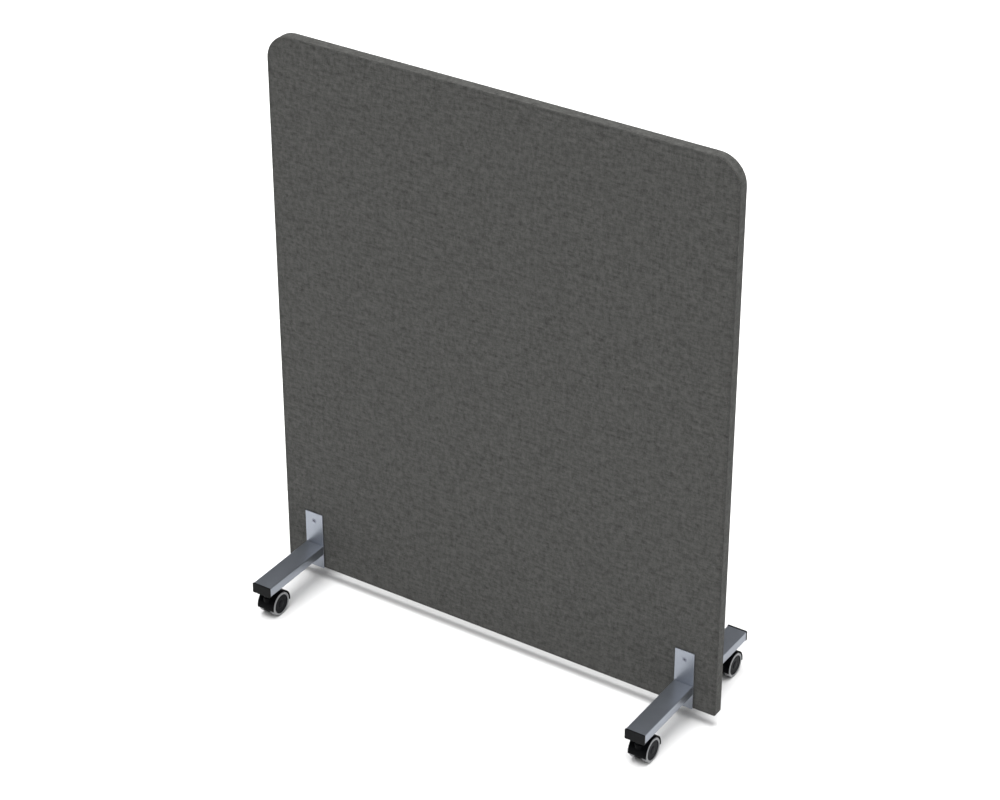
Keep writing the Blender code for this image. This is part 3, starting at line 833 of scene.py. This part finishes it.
def edge_strip(name, grid, first, last):
    """A length of the strip round the panel's edge, between two points of its boundary."""
    x, z, loop, out = grid
    flat = np.stack([x.ravel(), z.ravel()], 1)[loop]
    order = [i % len(loop) for i in range(first, last + 1)]
    edge, out = flat[order], out[order]
    along = np.concatenate([[0], np.cumsum(np.linalg.norm(np.diff(edge + ROLL * out, axis=0), axis=1))])

    front = [rolled(pi / 2 - a, sunk) for a, sunk in strip_rolls()]
    flat_depths = np.linspace(ROLL, 2 * HALF_THICKNESS - ROLL, 7)[1:-1]
    outer = front + [(0.0, d) for d in flat_depths]
    outer += [(inset, 2 * HALF_THICKNESS - depth) for inset, depth in reversed(front)]
    inner = [rolled(pi / 2 - a, CLOTH) for a in (0.0, pi / 12, SEAM_ANGLE - SEAM_LIP_ANGLE * 1.5)]
    back = [(inset, 2 * HALF_THICKNESS - depth) for inset, depth in reversed(inner)] + inner
    section = outer + back
    lengths = np.concatenate([[0], np.cumsum(np.linalg.norm(np.diff(np.array(outer), axis=0), axis=1))])
    under = np.interp([depth for _, depth in back], [depth for _, depth in outer], lengths)
    cloth = np.concatenate([lengths, under])

    loops, weave = [], []
    ends = [(0, 0.0009), (0, 0.0003), *((i, 0.0) for i in range(1, len(edge) - 1)),
            (len(edge) - 1, 0.0003), (len(edge) - 1, 0.0009)]
    for i, tuck in ends:
        points = [
            (*(edge[i] + (ROLL - inset - (tuck if k < len(outer) else 0.0)) * out[i]), depth)
            for k, (inset, depth) in enumerate(section)
        ]
        loops.append(np.array([(px, depth - HALF_THICKNESS, pz) for px, pz, depth in points]))
        weave += [(along[i], v) for v in cloth]
    mesh = stacked(name, loops)
    lay_weave(mesh, np.array(weave))
    depths = np.array([v.co.y for v in mesh.vertices])
    # Painted shade along both seams of the strip, where it meets the faces.
    paint_seam_shade(mesh, np.exp(-((np.maximum(HALF_THICKNESS - np.abs(depths), 0) / 0.002) ** 2)))
    return mesh, float(along[-1]), float(lengths[-1])


def strip_rolls():
    """(angle short of the side, depth below the roll) from the seam to the flat of the strip."""
    lip = SEAM_ANGLE - SEAM_LIP_ANGLE
    return [
        (SEAM_ANGLE - SEAM_HALF_ANGLE, SEAM_DEPTH),
        (SEAM_ANGLE - SEAM_HALF_ANGLE * 1.6, SEAM_DEPTH * 0.50),
        (SEAM_ANGLE - SEAM_LIP_ANGLE * 0.35, SEAM_DEPTH * 0.16),
        *((lip * k / 4, 0.0) for k in range(4, -1, -1)),
    ]


def build_edge(grid):
    """The strip over the sides and the top, and the one under the panel, sewn at the bottom corners."""
    count = len(grid[2])
    n_rows, n_cols = grid[0].shape
    corner = FOOT_CORNER_STEPS // 2
    left_corner = 2 * n_rows + n_cols - 3 - corner
    for name, node, first, last, rails in (
        ("edge_cover", "edge_band", corner, left_corner, ["top_rail", "left_stile", "right_stile"]),
        ("bottom_cover", "bottom_strip", left_corner, count + corner, ["bottom_rail"]),
    ):
        mesh, length, width = edge_strip(name, grid, first, last)
        strip = piece(name, mesh, FABRIC, "screen", [node])


def slab_rim(ease, outer, inner):
    """The rounded rim of a layer, from the depth of its outer face to that of its inner one."""
    turns = [pi / 8 * k for k in range(1, 4)]
    rim = [(-ease * sin(a), outer + ease * (1 - cos(a))) for a in turns]
    rim += [(-ease, outer + ease), (-ease, inner - ease)]
    return rim + [(-ease * cos(a), inner - ease * (1 - sin(a))) for a in turns]


def build_felt():
    """Felt layers under the faces, a little uneven in thickness."""
    low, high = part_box("rear_felt")
    outer = HALF_THICKNESS - high.y
    inner = HALF_THICKNESS - low.y
    features = [HALF_WIDTH], [PANEL_BOTTOM, PANEL_TOP]
    grid = panel_grid(*PANEL_BOX, FOOT_CORNER, TOP_CORNER, FELT_INSET + FELT_EASE, features,
                      FELT_STEP / 4, FELT_STEP)
    rim = slab_rim(FELT_EASE, outer, inner)
    waves = lambda x, z: UNEVENNESS * (1 + sin_waves(9 * x, 8 * z))
    front = lambda x, z: outer + waves(x, z) * (inside_distance(x, z) > 0.006)
    back = lambda x, z: np.full(x.shape, inner)
    for side, end in ((-1, "front"), (1, "rear")):
        mesh = layer(f"{end}_felt_layer", side, grid, front, rim, back)
        made = piece(f"{end}_felt_layer", mesh, FELT, "screen", [f"{end}_felt"])


def build_core():
    """The board in the frame's opening, with soft edges and a slightly uneven face."""
    low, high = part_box("acoustic_core")
    grid = panel_grid((low.x, low.z), (high.x, high.z), BOARD_EASE * 2, BOARD_EASE * 2, BOARD_EASE,
                      ([high.x], [low.z, high.z]), FELT_STEP / 4, FELT_STEP)
    front_face = HALF_THICKNESS - high.y
    rear_face = HALF_THICKNESS + high.y
    wobble = lambda x, z: BOARD_UNEVENNESS * (1 + sin_waves(13 * x, 11 * z)) * (
        np.minimum(high.x - np.abs(x), np.minimum(z - low.z, high.z - z)) > 2 * BOARD_EASE)
    mesh = layer("core_board", -1, grid, lambda x, z: front_face + wobble(x, z),
                 slab_rim(BOARD_EASE, front_face, rear_face), lambda x, z: rear_face - wobble(z, x))
    board = piece("core_board", mesh, WOOL, "screen", ["acoustic_core"])


# ---- Feet


def plate_mesh():
    """The upright plate, with countersunk holes."""
    height = plate_high.z - plate_low.z
    outline = lambda inset: rounded_rectangle(2 * HALF_PLATE, height, PLATE_CORNER, inset)
    loops = eased_slab(outline, PLATE_BACK, PLATE_FACE, PLATE_EASE, OUTWARD)
    centre = np.array((0, 0, (plate_high.z + plate_low.z) / 2))
    body = stacked("plate", [loop + centre for loop in loops])
    rim = HEAD_RADIUS + 0.0002
    bore = SLEEVE_RADIUS + 0.0003
    profile = [(rim + 0.0002, PLATE_FACE + 0.0010), (rim + 0.0002, PLATE_FACE), (rim, PLATE_FACE - 0.0003),
               (bore, PLATE_FACE - HEAD_CONE), (bore, PLATE_BACK - 0.0010)]
    sinks = [
        stacked("countersink", [loop + (0, 0, z) for loop in turned_loops(profile, OUTWARD, disc)])
        for z in BOLT_HEIGHTS
    ]
    return combined("foot_plate", body, [(sink, "DIFFERENCE") for sink in sinks])


def tube_outline(inset=0.0):
    return rounded_rectangle(TUBE_WIDTH, TUBE_HEIGHT, TUBE_CORNER, inset)


def bore_outline(inset=0.0):
    return rounded_rectangle(TUBE_WIDTH - 2 * TUBE_WALL, TUBE_HEIGHT - 2 * TUBE_WALL, TUBE_CORNER / 2, inset)


def tube_mesh():
    """The rectangular tube, open at both ends, with a hole for the castor's stem."""
    near, far, ease = -tube_high.y, -tube_low.y, TUBE_END_EASE
    levels = [(tube_outline(ease), near), (tube_outline(), near + ease), (tube_outline(), far - ease),
              (tube_outline(ease), far), (bore_outline(), far), (bore_outline(), near)]
    loops = [lifted(outline, depth, OUTWARD) + TUBE_CENTRE for outline, depth in levels]
    body = stacked("tube", loops, ring=True)
    hole = [lifted(disc(STUD_RADIUS + 0.0005), z) + (0, -STEM_Y, tube_low.z)
            for z in (-TUBE_WALL, 1.5 * TUBE_WALL)]
    return combined("foot_tube", body, [(stacked("stem_hole", hole), "DIFFERENCE")])


def weld_mesh():
    """A fillet weld at the tube's end, with the ripples that the torch leaves. It's full under the tube,
    and fades out round the tube's lower corners."""
    outline, out, along = spaced_loop(tube_outline(), WELD_POINTS)
    ripple = 1 + WELD_RIPPLE_SHARE * np.abs(np.sin(pi * along / WELD_RIPPLE))[:, None]
    uneven = 1 + 0.08 * np.sin(along * 140)[:, None] + 0.05 * np.sin(along * 373 + 1)[:, None]
    share = np.interp(outline[:, 1] / (TUBE_HEIGHT / 2), (-0.98, -0.70), (1, 0))[:, None]
    sunk_by = WELD_SINK * (1 - share)
    loops = []
    for k in range(7):
        turn = pi / 2 * k / 6
        bulge = 0.80 * ripple if 0 < k < 6 else 1.0
        reach = WELD_LEG * uneven * share * bulge
        offset = reach * sin(turn) - sunk_by
        rise = reach * cos(turn) - sunk_by
        loops.append(lifted(outline + offset * out, PLATE_FACE + rise[:, 0], OUTWARD) + TUBE_CENTRE)
    inside = outline - 3 * WELD_SINK * out
    loops += [lifted(inside, PLATE_FACE - depth * WELD_SINK, OUTWARD) + TUBE_CENTRE for depth in (2, -2)]
    return stacked("weld_bead", loops, ring=True)


def cap_mesh():
    """The tube's end cap: a flange with an eased rim, and a hollow plug with fins that grip the bore."""
    face, back, end = -cap_low.y, -cap_low.y - CAP_FLANGE, -cap_high.y
    width, height = TUBE_WIDTH + 2 * CAP_LIP, TUBE_HEIGHT + 2 * CAP_LIP
    outline = lambda inset: rounded_rectangle(width, height, TUBE_CORNER, inset)
    plug = bore_outline
    levels = [(outline(2.2 * CAP_EASE), face)]
    levels += [(outline(CAP_EASE * (1 - sin(a))), face - CAP_EASE * (1 - cos(a)))
               for a in np.linspace(0, pi / 2, 5)]
    levels += [(outline(0), back + CAP_JOINT_EASE), (outline(CAP_JOINT_EASE), back)]
    levels += [(plug(CAP_PLUG_GAP), back)]
    pitch = (back - end) / (CAP_FINS + 1)
    for fin in range(1, CAP_FINS + 1):
        at = back - fin * pitch
        levels += [(plug(CAP_PLUG_GAP), at + 0.0006), (plug(0.00005), at + 0.0002),
                   (plug(0.00005), at - 0.0002), (plug(CAP_PLUG_GAP), at - 0.0003)]
    pocket = CAP_PLUG_GAP + CAP_PLUG_WALL
    levels += [(plug(CAP_PLUG_GAP), end + 0.0004), (plug(CAP_PLUG_GAP + 0.0004), end), (plug(pocket), end),
               (plug(pocket), back)]
    return stacked("tube_cap", [lifted(flat, depth, OUTWARD) + TUBE_CENTRE for flat, depth in levels])


# ---- Fasteners
# A head's face is at depth zero, and the shank goes into the wall.


def head_levels():
    """The hexagonal socket, from its floor up, and the head down to its neck."""
    return [
        (hexagon(SOCKET_RADIUS * 0.96), -SOCKET_DEPTH),
        (hexagon(SOCKET_RADIUS), -SOCKET_DEPTH + 0.0003),
        (hexagon(SOCKET_RADIUS), -SOCKET_EASE),
        (hexagon(SOCKET_RADIUS + SOCKET_EASE), -0.00002),
        (disc(SOCKET_RADIUS + 2.2 * SOCKET_EASE), 0.0),
        (disc(HEAD_RADIUS - 2 * HEAD_EASE), 0.0),
        (disc(HEAD_RADIUS - HEAD_EASE), -0.00005),
        (disc(HEAD_RADIUS), -HEAD_EASE),
        (disc(SLEEVE_RADIUS), -HEAD_CONE),
    ]


def fastener(name, levels):
    """A screw of these levels. Its socket takes a darker, rougher steel inside: painted shade in the recess.
    """
    mesh = stacked(name, [lifted(flat, height, OUTWARD) for flat, height in levels])
    mesh.materials.append(ZINC)
    mesh.materials.append(SOCKET_SHADE_STEEL)
    for face in mesh.polygons:
        reach = (face.center.x ** 2 + face.center.z ** 2) ** 0.5
        # Faces inside the hex socket take the darker steel, as painted shade.
        inside = reach < SOCKET_RADIUS and 0.0002 < face.center.y < SOCKET_DEPTH * 1.1
        face.material_index = 1 if inside else 0
    return mesh


def bolt_mesh():
    length = span("right_upper_bolt").y
    neck = PLATE_FACE - PLATE_BACK
    thread = [(disc(radius), height)
              for radius, height in thread_profile(SHANK_RADIUS, -neck - 0.004, -length + 0.0008)]
    return fastener("bolt", [
        *head_levels(),
        (disc(SLEEVE_RADIUS), -neck),
        (disc(SHANK_RADIUS), -neck - 0.0004),
        *thread,
        (disc(SHANK_RADIUS - 0.0006), -length),
    ])


def sleeve_nut_mesh():
    length = span("right_upper_sleeve_nut").y
    bore = SHANK_RADIUS + 0.0002
    floor = -length + 0.0140
    return fastener("sleeve_nut", [
        *head_levels(),
        (disc(SLEEVE_RADIUS), -length + 0.0003),
        (disc(SLEEVE_RADIUS - 0.0003), -length),
        (disc(bore + 0.0003), -length),
        (disc(bore), -length + 0.0003),
        (disc(bore), floor),
        (disc(bore * 0.3), floor + 0.0012),
    ])


# ---- Castors
# The stem stands on the Z axis, and the axle lies along X at the trail along +Y.


def around_axle(points):
    """Points of (Y, Z) about the axle, in the castor's own frame."""
    return points + (TRAIL, AXLE_HEIGHT)


def hood_mesh():
    """The curved cover over both wheels, with rounded rims all round."""
    depth = HOOD_RADIUS - HOOD_INNER_RADIUS
    middle_radius = (HOOD_RADIUS + HOOD_INNER_RADIUS) / 2
    shrink = [0.0010, 0.0005, 0.00015] + [0.0] * (HOOD_STEPS - 5) + [0.00015, 0.0005, 0.0010]
    start, end = -HOOD_REACH, pi + HOOD_REACH
    lead = radians(0.25)
    turns = [start, start + lead, start + 3 * lead]
    turns += list(np.linspace(start + 6 * lead, end - 6 * lead, HOOD_STEPS - 5))
    turns += [end - 3 * lead, end - lead, end]
    loops = []
    for turn, less in zip(turns, shrink):
        section = rounded_rectangle(2 * WHEEL_OUTER, depth, HOOD_EDGE, less)
        radius = middle_radius + section[:, 1]
        across = around_axle(np.stack([radius * cos(turn), radius * sin(turn)], 1))
        loops.append(np.concatenate([section[:, :1], across], 1))
    return stacked("hood", loops)


def web_mesh():
    """The solid middle between the wheels, rounded under the axle."""
    over = np.linspace(-WEB_REACH, pi + WEB_REACH, 60)
    radius = (HOOD_RADIUS + HOOD_INNER_RADIUS) / 2
    arch = radius * np.stack([np.cos(over), np.sin(over)], 1)
    under = np.linspace(pi, tau, 30)[1:-1]
    belly = np.stack([arch[0, 0] * np.cos(under), arch[0, 1] + BELLY_DEPTH * np.sin(under)], 1)
    loop, out, _ = spaced_loop(np.concatenate([arch, belly]), 120)
    outline = lambda inset: around_axle(loop - inset * out)
    return stacked("web", eased_slab(outline, -WEB_HALF, WEB_HALF, WEB_EASE, SIDEWAYS))


def housing_mesh():
    flare = NECK_RADIUS + NECK_FLARE
    top = NECK_TOP
    profile = [(flare, top - 0.0215), (flare, top - 0.0105)]
    profile += [(flare - NECK_FLARE * sin(a), top - 0.0105 + NECK_FLARE * (1 - cos(a)) * 1.6)
                for a in np.linspace(0, pi / 2, 6)[1:]]
    profile += [(NECK_RADIUS - NECK_EASE * (1 - cos(a)), top - NECK_EASE * (1 - sin(a)))
                for a in np.linspace(0, pi / 2, 4)]
    neck = stacked("neck", turned_loops(profile, outline=disc))
    bore = PIN_RADIUS + PIN_CLEARANCE
    pin = [(bore, stem_low.z - 0.0003), (bore, top + 0.001)]
    pin_hole = stacked("pin_hole", turned_loops(pin, outline=disc))
    axle_bore = AXLE_RADIUS + 0.0003
    through = [lifted(disc(axle_bore), side * 2 * WEB_HALF, SIDEWAYS) + (0, TRAIL, AXLE_HEIGHT)
               for side in (-1, 1)]
    axle_hole = stacked("axle_hole", through)
    return combined("castor_housing", hood_mesh(), [
        (web_mesh(), "UNION"), (neck, "UNION"), (pin_hole, "DIFFERENCE"), (axle_hole, "DIFFERENCE")])


def stem_mesh():
    """The swivel pin, a hexagonal collar and the threaded stud that holds it in the tube."""
    collar_low, collar_high = NECK_TOP + 0.0005, tube_low.z - 0.0003
    washer = COLLAR_RADIUS * 0.79
    levels = [
        (disc(PIN_RADIUS - 0.0008), stem_low.z), (disc(PIN_RADIUS), stem_low.z + 0.0008),
        (disc(PIN_RADIUS), collar_low),
        (disc(washer), collar_low), (disc(washer), collar_low + 0.0004),
        (hexagon(COLLAR_RADIUS), collar_low + 0.0010), (hexagon(COLLAR_RADIUS), collar_high - 0.0010),
        (disc(washer), collar_high - 0.0003), (disc(washer), collar_high),
        (disc(STUD_RADIUS - 0.0004), collar_high),
    ]
    levels += [(disc(radius), z) for radius, z in
               thread_profile(STUD_RADIUS, collar_high + 0.0006, stem_high.z - 0.0008)]
    levels += [(disc(STUD_RADIUS - 0.0008), stem_high.z)]
    return stacked("castor_stem", [lifted(flat, z) for flat, z in levels])


def axle_mesh():
    """A pin with eased ends and a groove near each, along X."""
    half = span("front_right_castor_axle").x / 2
    groove = half - 0.0022
    radius = AXLE_RADIUS
    half_profile = [(radius - 0.0008, half), (radius - 0.0002, half - 0.0002), (radius, half - 0.0008),
                    (radius, groove + 0.0004), (radius - 0.0005, groove + 0.0003),
                    (radius - 0.0005, groove - 0.0003), (radius, groove - 0.0004)]
    profile = half_profile + [(radius, -at) for radius, at in reversed(half_profile)]
    return stacked("castor_axle", turned_loops(profile, SIDEWAYS, disc))


def hub_mesh():
    """A wheel disc along X. The outer face has a lip, a shallow dish and a cap; the inner one has ribs."""
    centre = (WHEEL_OUTER + WHEEL_INNER) / 2
    face = WHEEL_OUTER - centre
    inner = WHEEL_INNER - centre
    rim = WHEEL_RADIUS - TYRE_DEPTH - HUB_GAP
    cap = 0.0095
    bore = AXLE_RADIUS + 0.0005
    outside = [
        (0.0020, face - 0.0004), (cap - 0.0020, face - 0.0005), (cap - 0.0008, face - 0.0008),
        (cap, face - 0.0015), (cap + 0.0006, face - 0.0021), (cap + 0.0012, face - 0.0016),
        (rim - 0.0052, face - 0.0013), (rim - 0.0038, face - 0.0013), (rim - 0.0032, face - 0.0019),
        (rim - 0.0026, face - 0.0013), (rim - 0.0018, face - 0.0006), (rim - 0.0010, face - 0.0004),
        (rim - 0.0003, face - 0.0006), (rim, face - 0.0012), (rim, inner + 0.0012),
        (rim - 0.0004, inner + 0.0008), (rim - 0.0030, inner + 0.0008),
    ]
    loops = turned_loops(outside, SIDEWAYS)
    turn = np.arange(ROUND) * tau / ROUND
    rib = np.clip(np.abs(((turn * 8 / tau + 0.5) % 1) - 0.5) * 8 - 0.6, 0, 1)
    recess = inner + 0.0008 + 0.0060 * rib
    loops += [lifted(circle(rim - 0.0034), recess, SIDEWAYS), lifted(circle(0.0086), recess, SIDEWAYS)]
    loops += turned_loops([(0.0082, inner + 0.0008), (0.0076, inner), (bore + 0.0004, inner),
                           (bore, inner + 0.0004), (bore, face - 0.0020)], SIDEWAYS)
    return stacked("wheel_hub", loops)


def tyre_mesh():
    """A soft ring along X with rounded shoulders and a fine parting line round its tread."""
    half = (WHEEL_OUTER - WHEEL_INNER) / 2
    inner_radius = WHEEL_RADIUS - TYRE_DEPTH
    shoulder = TYRE_SHOULDER
    crown = [(WHEEL_RADIUS - 0.00012, 0.0050), (WHEEL_RADIUS - 0.00003, 0.0022),
             (WHEEL_RADIUS, 0.00025), (WHEEL_RADIUS, -0.00025)]
    one_side = [(inner_radius, half - 0.0009), (inner_radius + 0.0003, half - 0.0004),
                (inner_radius + 0.0010, half - 0.0001), (WHEEL_RADIUS - shoulder - 0.0006, half)]
    one_side += [(WHEEL_RADIUS - shoulder + shoulder * sin(a) - 0.00015, half - shoulder * (1 - cos(a)))
                 for a in np.linspace(0, pi / 2, 6)[1:]]
    profile = one_side + crown[:2] + [(WHEEL_RADIUS, 0.0003), (WHEEL_RADIUS + 0.00008, 0.0),
                                      (WHEEL_RADIUS, -0.0003)]
    profile += [(radius, -at) for radius, at in reversed(one_side + crown[:2])]
    return stacked("tyre", turned_loops(profile, SIDEWAYS), ring=True)


def build_wheel(name, which, meshes):
    """The wheel's two pieces, with their outer face away from the castor's middle."""
    at = JOINT_AT[f"{name}_{which}_wheel_spin"]
    faces_right = at.x > JOINT_AT[f"{name}_castor_swivel"].x
    turned = Matrix.Translation(at) @ Matrix.Rotation(0 if faces_right else pi, 4, "Z")
    body = f"{name}_{which}_wheel"
    piece(f"{name}_{which}_hub", meshes["hub"], HUB_PLASTIC, body, [f"{body}_hub"], turned)
    piece(f"{body}_tyre", meshes["tyre"], RUBBER, body, [f"{name}_{which}_tyre"], turned)


def build_feet():
    """Four feet with their castors, each placed from its castor's joints."""
    meshes = {
        "plate": plate_mesh(), "tube": tube_mesh(), "weld": weld_mesh(), "end_cap": cap_mesh(),
        "stem": stem_mesh(), "housing": housing_mesh(), "axle": axle_mesh(), "hub": hub_mesh(),
        "tyre": tyre_mesh(),
    }
    for name in FEET:
        joint = JOINT_AT[f"{name}_castor_swivel"]
        foot = Matrix.Translation((joint.x, 0, 0)) @ Matrix.Rotation(pi if joint.y > 0 else 0, 4, "Z")
        stem = foot @ Matrix.Translation((0, -STEM_Y, 0))
        axle = stem @ Matrix.Translation((0, TRAIL, AXLE_HEIGHT))
        for part, material, slot, body, node, at in (
            ("plate", SILVER, "silver_coat", "screen", "foot_plate", foot),
            ("tube", SILVER, "silver_coat", "screen", "foot_tube", foot),
            ("weld", SILVER, "silver_coat", "screen", "", foot),
            ("end_cap", CAP_PLASTIC, "black_plastic", "screen", "tube_cap", foot),
            ("stem", ZINC, "zinc_steel", "screen", "castor_stem", stem),
            ("housing", HOOD_PLASTIC, "black_plastic", f"{name}_castor", "castor_housing", stem),
            ("axle", ZINC, "zinc_steel", f"{name}_castor", "castor_axle", axle),
        ):
            nodes = [f"{name}_{node}"] if node else []
            piece(f"{name}_{part}", meshes[part], material, body, nodes, at)
        for which in ("outer", "inner"):
            build_wheel(name, which, meshes)


def build_fasteners():
    bolt, nut = bolt_mesh(), sleeve_nut_mesh()
    for side, x in (("left", -FOOT_X), ("right", FOOT_X)):
        for level, z in zip(("lower", "upper"), BOLT_HEIGHTS):
            name = f"{side}_{level}"
            front = Matrix.Translation((x, -PLATE_FACE, z))
            rear = Matrix.Translation((x, PLATE_FACE, z)) @ Matrix.Rotation(pi, 4, "Z")
            piece(f"{name}_foot_bolt", bolt, ZINC, "screen", [f"{name}_bolt"], front)
            piece(f"{name}_foot_nut", nut, ZINC, "screen", [f"{name}_sleeve_nut"], rear)


def finish_frame():
    """The wooden frame keeps its CAD shape and takes its grain along each piece."""
    for node, material in (("top_rail", PINE_ACROSS), ("bottom_rail", PINE_ACROSS),
                           ("left_stile", PINE_UP), ("right_stile", PINE_UP)):
        rail = frame["nodes"][node]
        rail.data.materials.clear()
        rail.data.materials.append(material)


# ---- Camera, floor and light


def build_camera():
    data = bpy.data.cameras.new("camera")
    data.sensor_width = 36
    data.lens = LENS
    camera = shown("camera", data)
    camera.location = Vector(CAMERA_ABOVE_PANEL_FOOT) + Vector((0, 0, PANEL_BOTTOM))
    camera.rotation_euler = (pi / 2 - CAMERA_DOWN, 0, CAMERA_ROUND)
    bpy.context.scene.camera = camera


def build_floor():
    shape = bmesh.new()
    bmesh.ops.create_grid(shape, x_segments=1, y_segments=1, size=FLOOR_REACH)
    mesh = bpy.data.meshes.new("floor")
    shape.to_mesh(mesh)
    shape.free()
    s = material("white_floor")
    white = (FLOOR_WHITE, FLOOR_WHITE, FLOOR_WHITE, 1)
    mesh.materials.append(s.finish(Base_Color=white, Roughness=0.9, Specular_IOR_Level=0.0))
    shown("floor", mesh)


def build_light():
    """A room that is bright above and dim at its walls, and a wide softbox overhead. Past the floor's end
    the camera sees plain white, and only what the object mirrors is dim."""
    scene = bpy.context.scene
    s = Nodes(bpy.data.worlds.new("white_room"))
    height = s.node("VectorMath", {0: s.node("TexCoord"), 1: CEILING_MIDDLE}, 1, operation="DOT_PRODUCT")
    steps = {0: height, 1: sin(DIM_BELOW), 2: sin(BRIGHT_ABOVE), 3: DIM_WALLS, 4: BRIGHT_CEILING}
    rise = s.node("MapRange", steps, interpolation_type="SMOOTHSTEP")
    seen = s.node("LightPath")
    scene.world = s.finish(Color=(1.0, 1.0, 1.0, 1.0), Strength=s.math("MAXIMUM", rise, seen))
    data = bpy.data.lights.new("softbox", "SUN")
    data.energy = SOFTBOX_ENERGY
    data.angle = SOFTBOX_ANGLE
    shown("softbox", data).rotation_euler = (SOFTBOX_TILT, 0, 0)
    scene.view_settings.view_transform = "Standard"


build_camera()
build_floor()
build_light()
boundary = build_faces()
build_edge(boundary)
build_felt()
build_core()
build_feet()
build_fasteners()
finish_frame()
